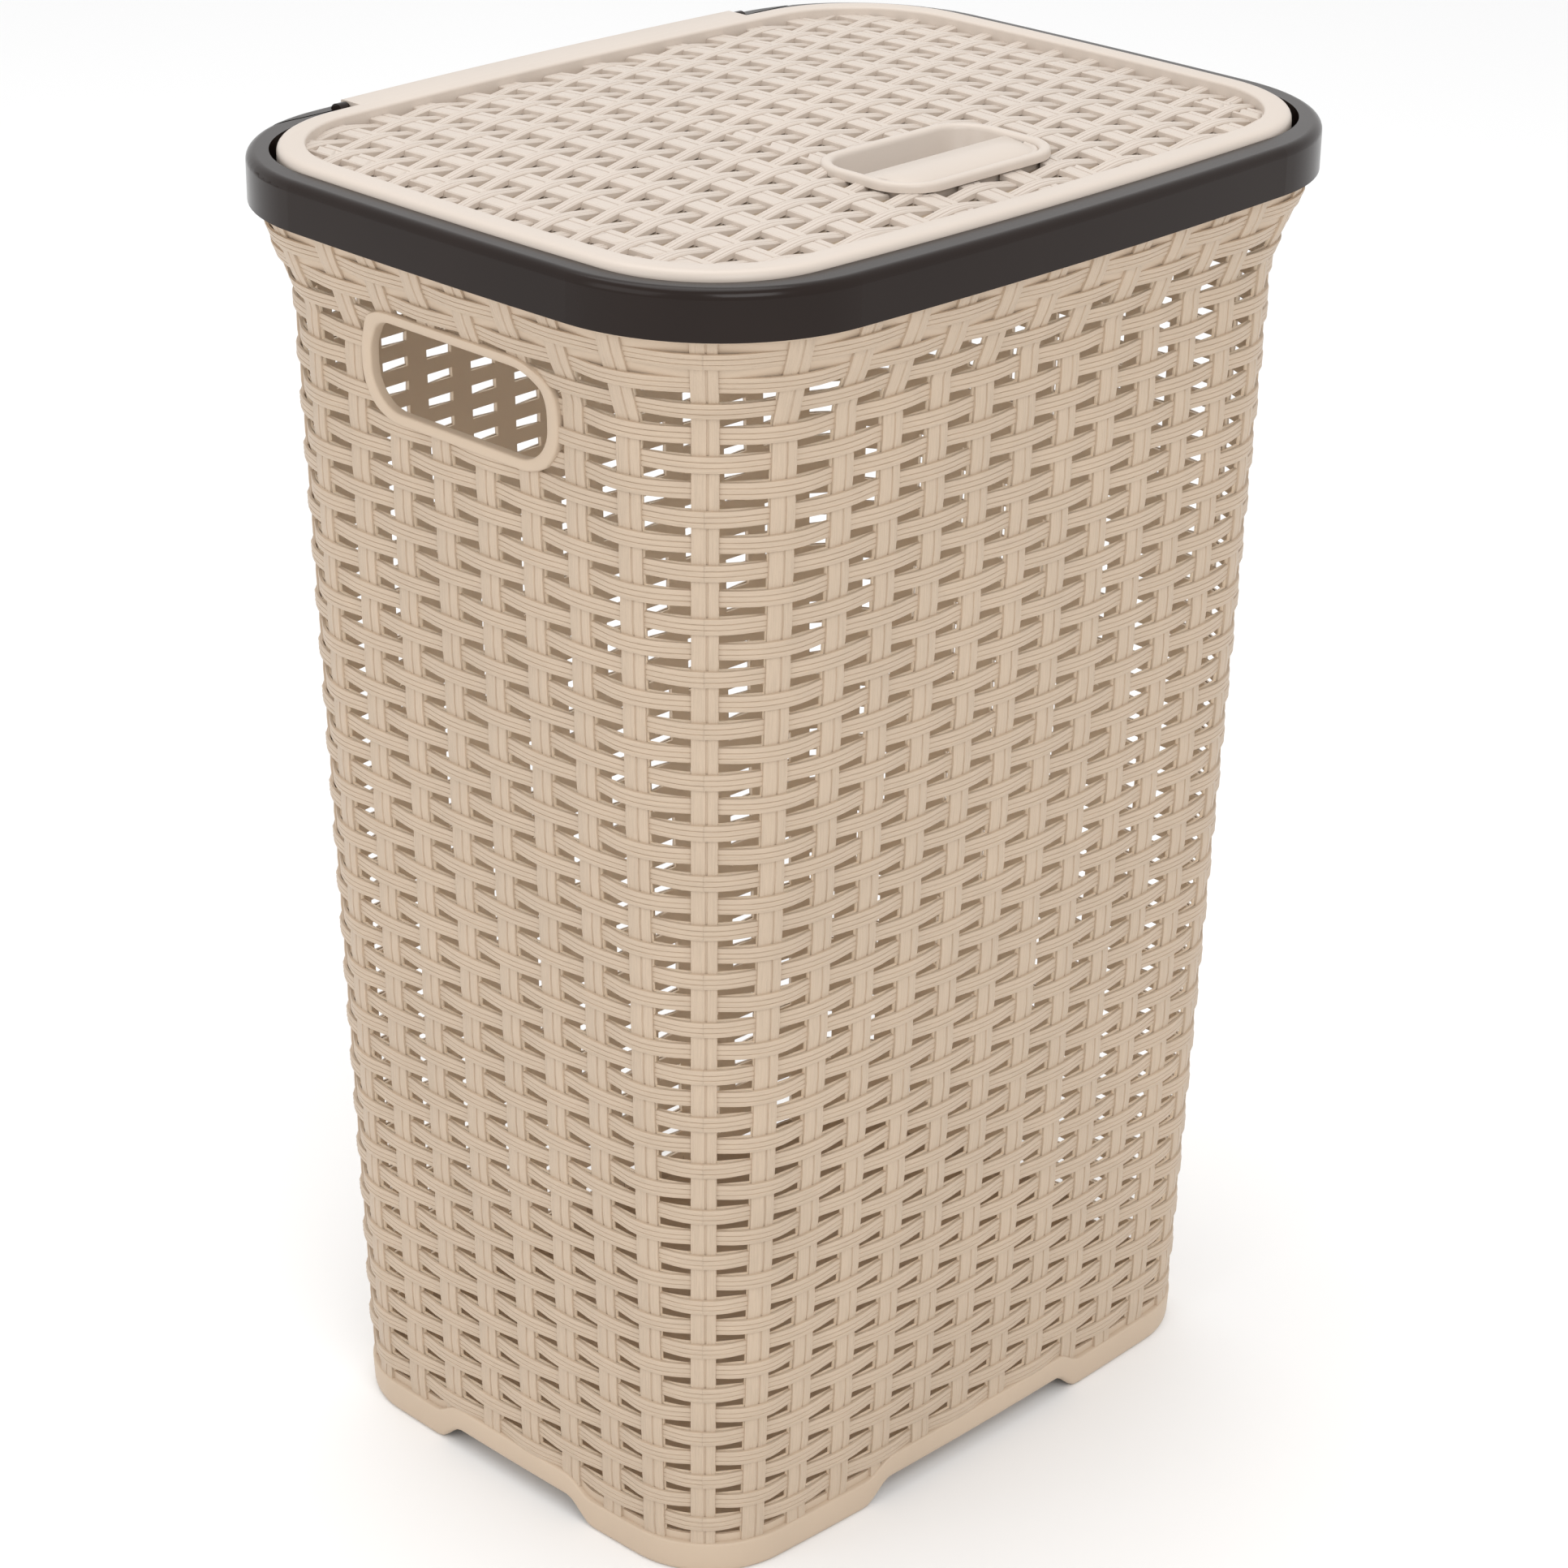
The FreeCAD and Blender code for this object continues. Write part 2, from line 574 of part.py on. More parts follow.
def groove(body, name, sketch):
    """A cut turned all the way round the vertical axis."""
    feature = body.newObject("PartDesign::Groove", name)
    feature.Profile = sketch
    feature.ReferenceAxis = (sketch, ["V_Axis"])
    feature.Angle = 360
    sketch.Visibility = False
    finish_feature(body, feature, adds=False)
    return feature


def cup_outline(outset):
    """Length, depth and corner of the cup's opening, grown by a distance."""
    opening = f"( {outset} - grip_bezel )"
    return (f"( grip_length + 2 * {opening} )", f"( grip_depth + 2 * {opening} )",
            f"( grip_corner + {opening} )")


def lid_sketch(body, name, level, *insets):
    sketch = new_sketch(body, name, "XY_Plane", level)
    for inset in insets:
        draw_lid_outline(sketch, inset)
    return sketch


def cup_sketch(body, name, level, outset):
    """The cup's opening grown by a distance, on the cup's own middle."""
    sketch = new_sketch(body, name, "XY_Plane", level, "-1 * grip_offset")
    draw_rounded_rectangle(sketch, *cup_outline(outset))
    return sketch


def make_lid_panel():
    """The domed panel inside the border, with the flat seat of the finger cup."""
    body = new_body("lid_panel")
    track_volume(body)
    extrude(body, "Pad", "panel_block",
            lid_sketch(body, "panel_outline", step_foot, "( border_width - lid_wall / 2 )"),
            f"dome_top - {step_foot}")
    reach = "( lid_length / 2 + lid_depth / 2 )"
    sketch = new_sketch(body, "dome_underside_outline", "XZ_Plane")
    draw_dome_profile(sketch, "( dome_top - panel_thickness )",
                      "( dome_radius - panel_thickness )", reach, "ledge_height")
    groove(body, "dome_underside", sketch)
    extrude(body, "Pad", "seat_block",
            cup_sketch(body, "seat_outside", f"{seat_level} - panel_thickness",
                       "( grip_bezel + cup_gap + seat_wall )"),
            f"dome_top - {seat_level} + panel_thickness")
    sketch = new_sketch(body, "dome_topside_outline", "XZ_Plane")
    draw_dome_profile(sketch, "dome_top", "dome_radius", reach, "( dome_top + step_depth )")
    groove(body, "dome_topside", sketch)
    extrude(body, "Pocket", "seat", cup_sketch(body, "seat_outline", seat_level,
                                               "( grip_bezel + cup_gap )"), None)
    extrude(body, "Pocket", "grip_hole",
            cup_sketch(body, "grip_hole_outline", "ledge_height", "( cup_wall + cup_gap )"), None)
    return body


def make_lid():
    """Border and domed panel over a skirt, with a rear flap and two hinge knuckles."""
    panel = make_lid_panel()
    body = new_body("lid")
    track_volume(body)
    block = extrude(body, "Pad", "lid_block", lid_sketch(body, "lid_outline", skirt_foot, "0"),
                    f"lid_top - {skirt_foot}")
    fillet(body, "lid_rounding", block, "lid_top", "lid_round")
    extrude(body, "Pocket", "underside",
            lid_sketch(body, "underside_outline", skirt_foot, "lid_wall"),
            f"{step_foot} - {skirt_foot}")
    extrude(body, "Pocket", "border_hollow",
            lid_sketch(body, "border_hollow_outline", step_foot, "lid_wall",
                       "( border_width - lid_wall )"),
            f"lid_top - border_thickness - {step_foot}")
    extrude(body, "Pocket", "border_inside",
            lid_sketch(body, "border_inner_outline", skirt_foot, "border_width"), None)
    joined = body.newObject("PartDesign::Boolean", "border_and_panel")
    joined.Type = "Fuse"
    joined.setObjects([panel])
    finish_feature(body, joined, adds=True)

    sketch = new_sketch(body, "flap_outline", "XY_Plane", "lid_top - border_thickness")
    draw_flap(sketch, "lid_depth / 2 - lid_wall / 2")
    extrude(body, "Pad", "flap", sketch, "border_thickness")
    sketch = new_sketch(body, "flap_lip_outline", "XY_Plane",
                        "lid_top - border_thickness - flap_lip_height")
    draw_flap(sketch, "flap_reach - flap_lip")
    extrude(body, "Pad", "flap_lip", sketch, "flap_lip_height")
    inner = "( flap_length / 2 - knuckle_length )"
    for side, level in (("right", inner), ("left", f"-1 * {inner}")):
        outward = side == "right"
        sketch = new_sketch(body, f"{side}_knuckle_outline", "YZ_Plane", level)
        draw_circle(sketch, "hinge_reach", "hinge_level", "knuckle_radius")
        extrude(body, "Pad", f"{side}_knuckle", sketch, "knuckle_length", up=outward)
        sketch = new_sketch(body, f"{side}_pin_hole_outline", "YZ_Plane", level)
        draw_circle(sketch, "hinge_reach", "hinge_level", "pin_radius + pin_play")
        extrude(body, "Pocket", f"{side}_pin_hole", sketch, "knuckle_length + 1", up=outward)
    return body


def draw_plate(sketch):
    """The front part of the cup's opening: round front corners, straight rear edge."""
    length, depth, corner = (worked_out(item) for item in cup_outline("0"))
    half, front = length / 2, -depth / 2
    rear = front + worked_out("plate_depth")
    x, y, point = half - corner, front + corner, FreeCAD.Vector
    sketch.addGeometry([
        Part.LineSegment(point(-x, front, 0), point(x, front, 0)),
        arc(x, y, corner, -math.pi / 2, 0),
        Part.LineSegment(point(half, y, 0), point(half, rear, 0)),
        Part.LineSegment(point(half, rear, 0), point(-half, rear, 0)),
        Part.LineSegment(point(-half, rear, 0), point(-half, y, 0)),
        arc(-x, y, corner, math.pi, 3 * math.pi / 2),
    ], False)
    for line, following in ((0, 1), (1, 2), (4, 5), (5, 0)):
        sketch.addConstraint(Sketcher.Constraint("Tangent", line, 2, following, 1))
    for line in (2, 3):
        sketch.addConstraint(Sketcher.Constraint("Coincident", line, 2, line + 1, 1))
    for line, kind in ((0, "Horizontal"), (2, "Vertical"), (3, "Horizontal"), (4, "Vertical")):
        sketch.addConstraint(Sketcher.Constraint(kind, line))
    sketch.addConstraint(Sketcher.Constraint("Symmetric", 1, 3, 5, 3, -2))
    opening = cup_outline("0")
    dimension(sketch, "corner_radius", "Radius", (1,), opening[2])
    dimension(sketch, "length", "DistanceX", (5, 3, 1, 3), f"{opening[0]} - 2 * {opening[2]}")
    dimension(sketch, "front", "DistanceY", (1, 3, -1, 1), f"{opening[1]} / 2 - {opening[2]}")
    dimension(sketch, "rear", "DistanceY", (0, 1, 3, 1), "plate_depth")


def make_grip_cup():
    """The finger cup that drops into the lid: bezel, deep cup and a plain front plate."""
    body = new_body("grip_cup")
    track_volume(body)

    bezel = extrude(body, "Pad", "bezel", cup_sketch(body, "bezel_outline", seat_level, "grip_bezel"),
                    "grip_rise")
    fillet(body, "bezel_rounding", bezel, bezel_top, "lid_round")
    extrude(body, "Pad", "cup", cup_sketch(body, "cup_outside", seat_level, "cup_wall"),
            "cup_depth - grip_rise", up=False)
    extrude(body, "Pocket", "pocket", cup_sketch(body, "cup_inside", bezel_top, "0"),
            "cup_depth - cup_wall", up=False)
    sketch = new_sketch(body, "plate_outline", "XY_Plane",
                        f"{bezel_top} - plate_drop - plate_thickness", "-1 * grip_offset")
    draw_plate(sketch)
    extrude(body, "Pad", "plate", sketch, "plate_thickness")
    return body


def make_hinge_pin(side):
    """A headless pin, pressed in the ring's ear and free to turn in the lid's knuckle."""
    body = new_body(f"hinge_pin_{side}")
    track_volume(body)
    outer = f"( {ear_start} + ear_thickness )"
    level = f"{outer} - pin_length" if side == "right" else f"-1 * {outer}"
    sketch = new_sketch(body, f"{side}_pin_outline", "YZ_Plane", level)
    draw_circle(sketch, "hinge_reach", "hinge_level", "pin_radius")
    rod = extrude(body, "Pad", f"{side}_rod", sketch, "pin_length")
    ends = [f"Edge{index}" for index, edge in enumerate(rod.Shape.Edges, start=1)
            if edge.isClosed()]
    chamfer = body.newObject("PartDesign::Chamfer", f"{side}_pin_chamfer")
    chamfer.Base = (rod, ends)
    bind(chamfer, "Size", "pin_chamfer")
    doc.recompute()
    return body


parts = [make_basket_body(), make_rim_ring(), make_lid(), make_grip_cup(),
         make_hinge_pin("left"), make_hinge_pin("right")]
doc.recompute()

for item in doc.Objects:
    if {"Invalid", "Error"} & set(item.State):
        raise RuntimeError(f"{item.Label} did not recompute: {item.State}")
for part in parts:
    if part.Shape.isNull() or not part.Shape.isValid() or len(part.Shape.Solids) != 1:
        raise RuntimeError(f"{part.Label} is not one valid solid")
for part in parts:
    part.Shape.exportStep(f"parts/{part.Label}.step")
    box = part.Shape.BoundBox
    print(f"{part.Label}: {part.Shape.Volume / 1000:.1f} cm3, "
          f"{box.XLength:.1f} x {box.YLength:.1f} x {box.ZLength:.1f} mm, top {box.ZMax:.1f}")
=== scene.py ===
import math

import bpy
import numpy as np
from mathutils import Matrix, Vector


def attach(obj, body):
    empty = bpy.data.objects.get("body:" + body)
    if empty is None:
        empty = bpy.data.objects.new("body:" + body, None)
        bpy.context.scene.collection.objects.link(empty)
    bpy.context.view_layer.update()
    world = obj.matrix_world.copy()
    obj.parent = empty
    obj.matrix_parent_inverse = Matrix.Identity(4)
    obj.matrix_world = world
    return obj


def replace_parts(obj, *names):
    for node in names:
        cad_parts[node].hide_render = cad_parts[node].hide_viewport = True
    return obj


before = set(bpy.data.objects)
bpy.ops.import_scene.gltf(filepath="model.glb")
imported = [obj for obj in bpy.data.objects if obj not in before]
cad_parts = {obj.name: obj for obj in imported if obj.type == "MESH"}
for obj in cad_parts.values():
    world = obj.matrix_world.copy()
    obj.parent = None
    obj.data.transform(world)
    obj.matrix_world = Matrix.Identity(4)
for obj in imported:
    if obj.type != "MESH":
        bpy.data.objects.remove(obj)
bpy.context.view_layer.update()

mm = 0.001
scene = bpy.context.scene
print("frame loaded:", sorted(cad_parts))

# Each outline is eight tangent arcs: two long bowed sides, two bowed ends, four corners.
# halfX and halfY reach to the middles of the sides; the other three values are radii.
basketShape = dict(halfX=171.5 * mm, halfY=128.8 * mm, corner=46 * mm, frontArc=2.5, sideArc=3.0)
lidShape = dict(halfX=195 * mm, halfY=150 * mm, corner=66 * mm, frontArc=2.5, sideArc=3.0)


def solveOutline(shape):
    # The corner's centre is the crossing of two circles about the big arcs' centres.
    frontShift = shape["frontArc"] - shape["halfY"]
    sideShift = shape["sideArc"] - shape["halfX"]
    span = math.hypot(sideShift, frontShift)
    reachSide = shape["sideArc"] - shape["corner"]
    reachFront = shape["frontArc"] - shape["corner"]
    along = (reachSide ** 2 - reachFront ** 2 + span ** 2) / (2 * span)
    across = math.sqrt(reachSide ** 2 - along ** 2)
    unitX, unitY = sideShift / span, -frontShift / span
    cornerX = -sideShift + along * unitX - across * unitY
    cornerY = along * unitY + across * unitX
    shape.update(frontShift=frontShift, sideShift=sideShift, cornerX=cornerX, cornerY=cornerY,
                 turnSide=math.atan2(cornerY, cornerX + sideShift),
                 turnFront=math.atan2(cornerY + frontShift, cornerX))
    return shape


solveOutline(basketShape)
solveOutline(lidShape)


def outlinePoint(shape, turn, grow):
    # Point whose outward normal points along turn: the arc's centre plus (its radius + grow)
    # times the normal, worked out in the first quadrant and mirrored by the normal's signs.
    cosine, sine = np.cos(turn), np.sin(turn)
    folded = np.arctan2(np.abs(sine), np.abs(cosine))
    side, front = folded < shape["turnSide"], folded > shape["turnFront"]
    centreX = np.where(side, -shape["sideShift"], np.where(front, 0.0, shape["cornerX"]))
    centreY = np.where(side, 0.0, np.where(front, -shape["frontShift"], shape["cornerY"]))
    radius = np.where(side, shape["sideArc"], np.where(front, shape["frontArc"], shape["corner"]))
    x = (centreX + (radius + grow) * np.abs(cosine)) * np.where(cosine < 0, -1, 1)
    y = (centreY + (radius + grow) * np.abs(sine)) * np.where(sine < 0, -1, 1)
    return x, y


def outlineTurns(shape, sideSteps, cornerSteps):
    # Normal directions once round the outline, closer together in the corners.
    a, b, half = shape["turnSide"], shape["turnFront"], math.pi / 2
    marks = [-a, a, b, 2 * half - b, 2 * half - a, 2 * half + a, 2 * half + b, 4 * half - b,
             4 * half - a]
    steps = [sideSteps, cornerSteps] * 4
    return np.concatenate([np.linspace(marks[i], marks[i + 1], steps[i], endpoint=False)
                           for i in range(8)])


def outlineReach(shape, other, grow, alongX):
    # Half extent of the outline in X at a given Y (alongX), or in Y at a given X.
    big, shift = ("sideArc", "sideShift") if alongX else ("frontArc", "frontShift")
    here, there = ("cornerX", "cornerY") if alongX else ("cornerY", "cornerX")
    other = np.abs(other)
    radius = shape["corner"] + grow
    onBig = np.sqrt(np.maximum((shape[big] + grow) ** 2 - other ** 2, 0)) - shape[shift]
    drop = np.clip(other - shape[there], 0, radius)
    onCorner = shape[here] + np.sqrt(radius ** 2 - drop ** 2)
    return np.where(other < shape[there], onBig, onCorner)


def roundedRectangle(halfX, halfY, corner, steps):
    # Corner centres and unit normals once round; a point is centre + normal * (corner + w).
    quarter = np.linspace(0, math.pi / 2, steps)
    turn = np.concatenate([quarter + i * math.pi / 2 for i in range(4)])
    signX = np.repeat([1, -1, -1, 1], steps)
    signY = np.repeat([1, 1, -1, -1], steps)
    centre = np.stack([signX * (halfX - corner), signY * (halfY - corner)], 1)
    return centre, np.stack([np.cos(turn), np.sin(turn)], 1)


def gridFaces(rows, columns, closeRows, closeColumns):
    # Quads of a rows x columns grid of points, wrapped round where a direction closes.
    i = np.arange(rows if closeRows else rows - 1)[:, None]
    j = np.arange(columns if closeColumns else columns - 1)[None, :]
    nextI, nextJ = (i + 1) % rows, (j + 1) % columns
    corners = [i * columns + j, nextI * columns + j, nextI * columns + nextJ, i * columns + nextJ]
    return np.stack([np.broadcast_to(c, (i.size, j.size)).ravel() for c in corners], 1)


def makePiece(name, parts, body, material, sharp=35):
    # parts: list of (points, faces, uv or None, caps); caps are extra many-sided faces.
    points, faces, uvs, start = [], [], [], 0
    for part in parts:
        coordinates = part[0].reshape(-1, 3)
        points.append(coordinates)
        faces += (part[1] + start).tolist()
        faces += [[index + start for index in cap] for cap in part[3]]
        uv = part[2] if part[2] is not None else np.zeros((len(coordinates), 2))
        uvs.append(uv.reshape(-1, 2))
        start += len(coordinates)
    mesh = bpy.data.meshes.new(name)
    mesh.from_pydata(np.concatenate(points).tolist(), [], faces)
    layer = mesh.uv_layers.new(name="surface")
    corner = np.zeros(len(mesh.loops), dtype=np.int32)
    mesh.loops.foreach_get("vertex_index", corner)
    layer.data.foreach_set("uv", np.concatenate(uvs)[corner].astype(np.float32).ravel())
    mesh.update()
    mesh.shade_smooth()
    mesh.set_sharp_from_angle(angle=math.radians(sharp))
    mesh.materials.append(material)
    piece = bpy.data.objects.new(name, mesh)
    scene.collection.objects.link(piece)
    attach(piece, body)
    print(f"{name}: {len(mesh.polygons)} faces")
    return piece


def tubes(points, uv, closed, reverse=False):
    # points: (tubes, along, across, 3), closed across, and along too when closed is true.
    count, along, across = points.shape[:3]
    tile = gridFaces(along, across, closed, True)
    if reverse:
        tile = tile[:, ::-1]
    faces = (tile[None] + (np.arange(count) * along * across)[:, None, None]).reshape(-1, 4)
    caps = []
    if not closed:
        for i in range(count):
            first = list(range(i * along * across, i * along * across + across))
            last = [index + (along - 1) * across for index in first]
            caps += [first[::-1], last] if reverse else [first, last[::-1]]
    return points, faces, uv, caps


def ringSweep(centre, normal, corner, profile, place):
    # A closed profile of (outset, height) carried round a rounded rectangle.
    outset, height = profile[:, 0], profile[:, 1]
    flat = centre[:, None, :] + normal[:, None, :] * (corner + outset)[None, :, None]
    points = place(flat[..., 0], flat[..., 1], np.broadcast_to(height, flat.shape[:2]))
    return points, gridFaces(len(centre), len(profile), True, True), None, []


def node(tree, kind, **values):
    # A new node; each value goes to the input of that name, or else to the setting.
    made = tree.nodes.new(kind)
    for key, value in values.items():
        if key in made.inputs:
            made.inputs[key].default_value = value
        else:
            setattr(made, key, value)
    return made


def plasticMaterial(name, look):
    # Moulded plastic: base colour broken by broad mottling and fine speckle, a grain of fine
    # streaks along U where the piece has one, and a bump made of the same streaks.
    material = bpy.data.materials.new(name)
    material.use_nodes = True
    tree = material.node_tree
    link = tree.links.new
    shader = tree.nodes["Principled BSDF"]
    shader.inputs["Roughness"].default_value = look["roughness"]
    shader.inputs["IOR"].default_value = 1.49
    shader.inputs["Specular IOR Level"].default_value = look["specular"]
    where = node(tree, "ShaderNodeTexCoord")
    mottle = node(tree, "ShaderNodeTexNoise", Scale=look["mottleScale"], Detail=4.0)
    speckle = node(tree, "ShaderNodeTexNoise", Scale=look["speckleScale"], Detail=3.0)
    link(where.outputs["Object"], mottle.inputs["Vector"])
    link(where.outputs["Object"], speckle.inputs["Vector"])
    ramp = node(tree, "ShaderNodeValToRGB")
    for stop, position, sign in zip(ramp.color_ramp.elements, (0.3, 0.7), (-1, 1)):
        stop.position = position
        stop.color = (*[min(c * (1 + sign * look["mottle"]), 1) for c in look["color"]], 1)
    link(mottle.outputs["Fac"], ramp.inputs["Fac"])
    color = ramp.outputs["Color"]
    height = speckle.outputs["Fac"]
    if look["streak"]:
        stretch = node(tree, "ShaderNodeMapping")
        stretch.inputs["Scale"].default_value = (look["streakLength"], look["streakWidth"], 1)
        link(where.outputs["UV"], stretch.inputs["Vector"])
        streak = node(tree, "ShaderNodeTexNoise", Scale=1.0, Detail=3.0, Roughness=0.6)
        link(stretch.outputs["Vector"], streak.inputs["Vector"])
        darker = node(tree, "ShaderNodeMix", data_type="RGBA", blend_type="MULTIPLY")
        shade = node(tree, "ShaderNodeMapRange")
        shade.inputs["From Min"].default_value = 0.25
        shade.inputs["From Max"].default_value = 0.6
        shade.inputs["To Min"].default_value = 1 - look["streakShade"]
        shade.inputs["To Max"].default_value = 1.0
        link(streak.outputs["Fac"], shade.inputs["Value"])
        darker.inputs["Factor"].default_value = 1.0
        link(color, darker.inputs["A"])
        link(shade.outputs["Result"], darker.inputs["B"])
        color = darker.outputs["Result"]
        both = node(tree, "ShaderNodeMath", operation="MULTIPLY_ADD")
        both.inputs[1].default_value = look["streak"]
        link(streak.outputs["Fac"], both.inputs[0])
        link(speckle.outputs["Fac"], both.inputs[2])
        height = both.outputs[0]
    link(color, shader.inputs["Base Color"])
    rough = node(tree, "ShaderNodeMapRange")
    rough.inputs["To Min"].default_value = look["roughness"] - 0.06
    rough.inputs["To Max"].default_value = look["roughness"] + 0.06
    link(mottle.outputs["Fac"], rough.inputs["Value"])
    link(rough.outputs["Result"], shader.inputs["Roughness"])
    bump = node(tree, "ShaderNodeBump", Strength=look["bump"], Distance=look["bumpDepth"])
    link(height, bump.inputs["Height"])
    link(bump.outputs["Normal"], shader.inputs["Normal"])
    return material


# Scales are repeats per metre; mottle and streakShade are shares of the colour; bumpDepth is
# in metres; streak is the grain's weight in the bump, stretched by streakLength along U.
looks = {
    "basketWeave": dict(color=(0.535, 0.42, 0.312), roughness=0.45, specular=0.4, mottle=0.03,
                        mottleScale=14, speckleScale=1800, bump=0.5, bumpDepth=0.0003, streak=3.0,
                        streakLength=60, streakWidth=1500, streakShade=0.12),
    "basketPlain": dict(color=(0.535, 0.42, 0.312), roughness=0.5, specular=0.4, mottle=0.03,
                        mottleScale=14, speckleScale=1500, bump=0.35, bumpDepth=0.0002, streak=0),
    # basketInsidePaintedLight: the same cream plastic as outside, painted much paler as painted
    # light standing in for the light inside the basket.
    "basketInsidePaintedLight": dict(color=(0.86, 0.72, 0.56), roughness=0.5, specular=0.3, mottle=0.02,
                         mottleScale=14, speckleScale=1500, bump=0.3, bumpDepth=0.0002, streak=0),
    "lidWeave": dict(color=(0.575, 0.50, 0.435), roughness=0.42, specular=0.4, mottle=0.02,
                     mottleScale=14, speckleScale=1800, bump=0.4, bumpDepth=0.0002, streak=2.0,
                     streakLength=60, streakWidth=1500, streakShade=0.06),
    "lidPlain": dict(color=(0.575, 0.50, 0.435), roughness=0.36, specular=0.45, mottle=0.02,
                     mottleScale=14, speckleScale=1500, bump=0.25, bumpDepth=0.00015, streak=0),
    # lidRecessPaintedShade: the lid's own plastic, painted much darker as painted shade in the
    # recesses between the lid's strands.
    "lidRecessPaintedShade": dict(color=(0.36, 0.28, 0.20), roughness=0.5, specular=0.4, mottle=0.03,
                      mottleScale=14, speckleScale=1500, bump=0.3, bumpDepth=0.0002, streak=0),
    "ringBrown": dict(color=(0.013, 0.007, 0.005), roughness=0.2, specular=0.22, mottle=0.06,
                      mottleScale=25, speckleScale=900, bump=0.1, bumpDepth=0.0001, streak=0),
}
materials = {name: plasticMaterial(name, look) for name, look in looks.items()}
print("materials made:", len(materials))

# The wall: its lean, the flare under the rim, the lip, and the depths of the woven skin's
# back (outer) and of the inner face, measured from the outline.
wall = dict(lean=math.tan(math.radians(1.99)), flareStart=538 * mm, flareEnd=576.5 * mm,
            flareOut=15 * mm, lipTop=595 * mm, sink=0.6 * mm, outer=-1.5 * mm, inner=-2.9 * mm)
# The lattice: pitches along each side, rows of strands, the slots between, the corner seam's
# normal, the level of even spacing and half a stave's width as a share of the pitch.
lattice = dict(longPitches=13, shortPitches=9, firstRow=14.716 * mm, rowPitch=11.272 * mm,
               rows=51, openRows=48, slotHeight=4.5 * mm, seamTurn=math.radians(41.8),
               evenLevel=200 * mm, staveEdge=0.215)
# The hand holes: the opening, its level, and the frame's width along it and rise over the wall.
handHole = dict(halfLength=52.5 * mm, halfHeight=19.5 * mm, corner=17 * mm, level=526 * mm,
                bezelLong=6.2 * mm, proud=1.6 * mm)
staveCount = 2 * (lattice["longPitches"] + lattice["shortPitches"])
seamStaves = np.array([0, lattice["longPitches"], staveCount // 2,
                       staveCount // 2 + lattice["longPitches"]])
sideMiddles = {1: lattice["longPitches"] + lattice["shortPitches"] / 2,
               -1: 2 * lattice["longPitches"] + 1.5 * lattice["shortPitches"]}


def wallGrow(z):
    # Growth of the base outline with height: a steady lean, then a steeper flare, then none.
    flare = np.clip((z - wall["flareStart"]) / (wall["flareEnd"] - wall["flareStart"]), 0, 1)
    lean = np.minimum(z, wall["flareStart"]) * wall["lean"]
    return lean + flare * wall["flareOut"] - wall["sink"]


def sideLengths():
    # At the level of even spacing: the corner's radius, the turns from its seam to the long
    # side's bow and to the short side's, and the lengths of both bows.
    shape, grow = basketShape, wallGrow(lattice["evenLevel"])
    return dict(grow=grow, corner=shape["corner"] + grow,
                longCorner=shape["turnFront"] - lattice["seamTurn"],
                shortCorner=lattice["seamTurn"] - shape["turnSide"],
                longBow=(shape["frontArc"] + grow) * (math.pi - 2 * shape["turnFront"]),
                shortBow=(shape["sideArc"] + grow) * 2 * shape["turnSide"])


def staveTurn(stave):
    # Normal's direction at a stave number: equal shares of each side's own length at one
    # level, kept at every height, so that the spacing widens upwards only at the corners.
    # Counted from the front left corner's seam along the front, right, back and left.
    shape, lengths = basketShape, sideLengths()
    corner = lengths["corner"]
    longCount, shortCount = lattice["longPitches"], lattice["shortPitches"]
    stave = np.mod(stave, staveCount)
    half = longCount + shortCount
    back = stave >= half
    within = np.where(back, stave - half, stave)
    onLong = within < longCount
    share = np.where(onLong, within / longCount, (within - longCount) / shortCount)
    cornerTurn = np.where(onLong, lengths["longCorner"], lengths["shortCorner"])
    bow = np.where(onLong, lengths["longBow"], lengths["shortBow"])
    bowRadius = np.where(onLong, shape["frontArc"], shape["sideArc"]) + lengths["grow"]
    cornerLength = corner * cornerTurn
    distance = share * (2 * cornerLength + bow)
    turn = np.where(distance < cornerLength, distance / corner,
                    np.where(distance < cornerLength + bow,
                             cornerTurn + (distance - cornerLength) / bowRadius,
                             cornerTurn + bow / bowRadius
                             + (distance - cornerLength - bow) / corner))
    start = np.where(onLong, -math.pi + lattice["seamTurn"], -lattice["seamTurn"])
    return start + np.where(back, math.pi, 0) + turn


def evenWidth(number, offset, z):
    # Stave coordinate of a line beside stave number: within the stave's edges the offset is
    # divided by the local widening, so that a stave keeps its width; beyond them the rest
    # of the half pitch is shared out.
    turn = staveTurn(number)
    turn = np.arctan2(np.abs(np.sin(turn)), np.abs(np.cos(turn)))
    rounded = (turn > basketShape["turnSide"]) & (turn < basketShape["turnFront"])
    widening = (basketShape["corner"] + wallGrow(z)) / sideLengths()["corner"]
    widening = np.where(rounded, widening, 1)
    edge, size = lattice["staveEdge"], np.abs(offset)
    narrow = edge / widening
    beyond = narrow + (size - edge) * (0.5 - narrow) / (0.5 - edge)
    return number + np.sign(offset) * np.where(size <= edge, size / widening, beyond)


def wallPoint(stave, z, out):
    # Point of the basket at a stave number and a height, moved outwards along the normal.
    stave, z, out = np.broadcast_arrays(stave, z, out)
    x, y = outlinePoint(basketShape, staveTurn(stave), wallGrow(z) + out)
    return np.stack([x, y, z], -1)


def staveAtY(side, y, z):
    # Stave number on a short side at a distance y from its middle: the side arc's turn there
    # times its radius at the level of even spacing, over the pitch.
    lengths = sideLengths()
    turn = np.arcsin(y / (basketShape["sideArc"] + wallGrow(z)))
    length = (basketShape["sideArc"] + lengths["grow"]) * turn
    sideLength = 2 * lengths["corner"] * lengths["shortCorner"] + lengths["shortBow"]
    return sideMiddles[side] + side * length / sideLength * lattice["shortPitches"]


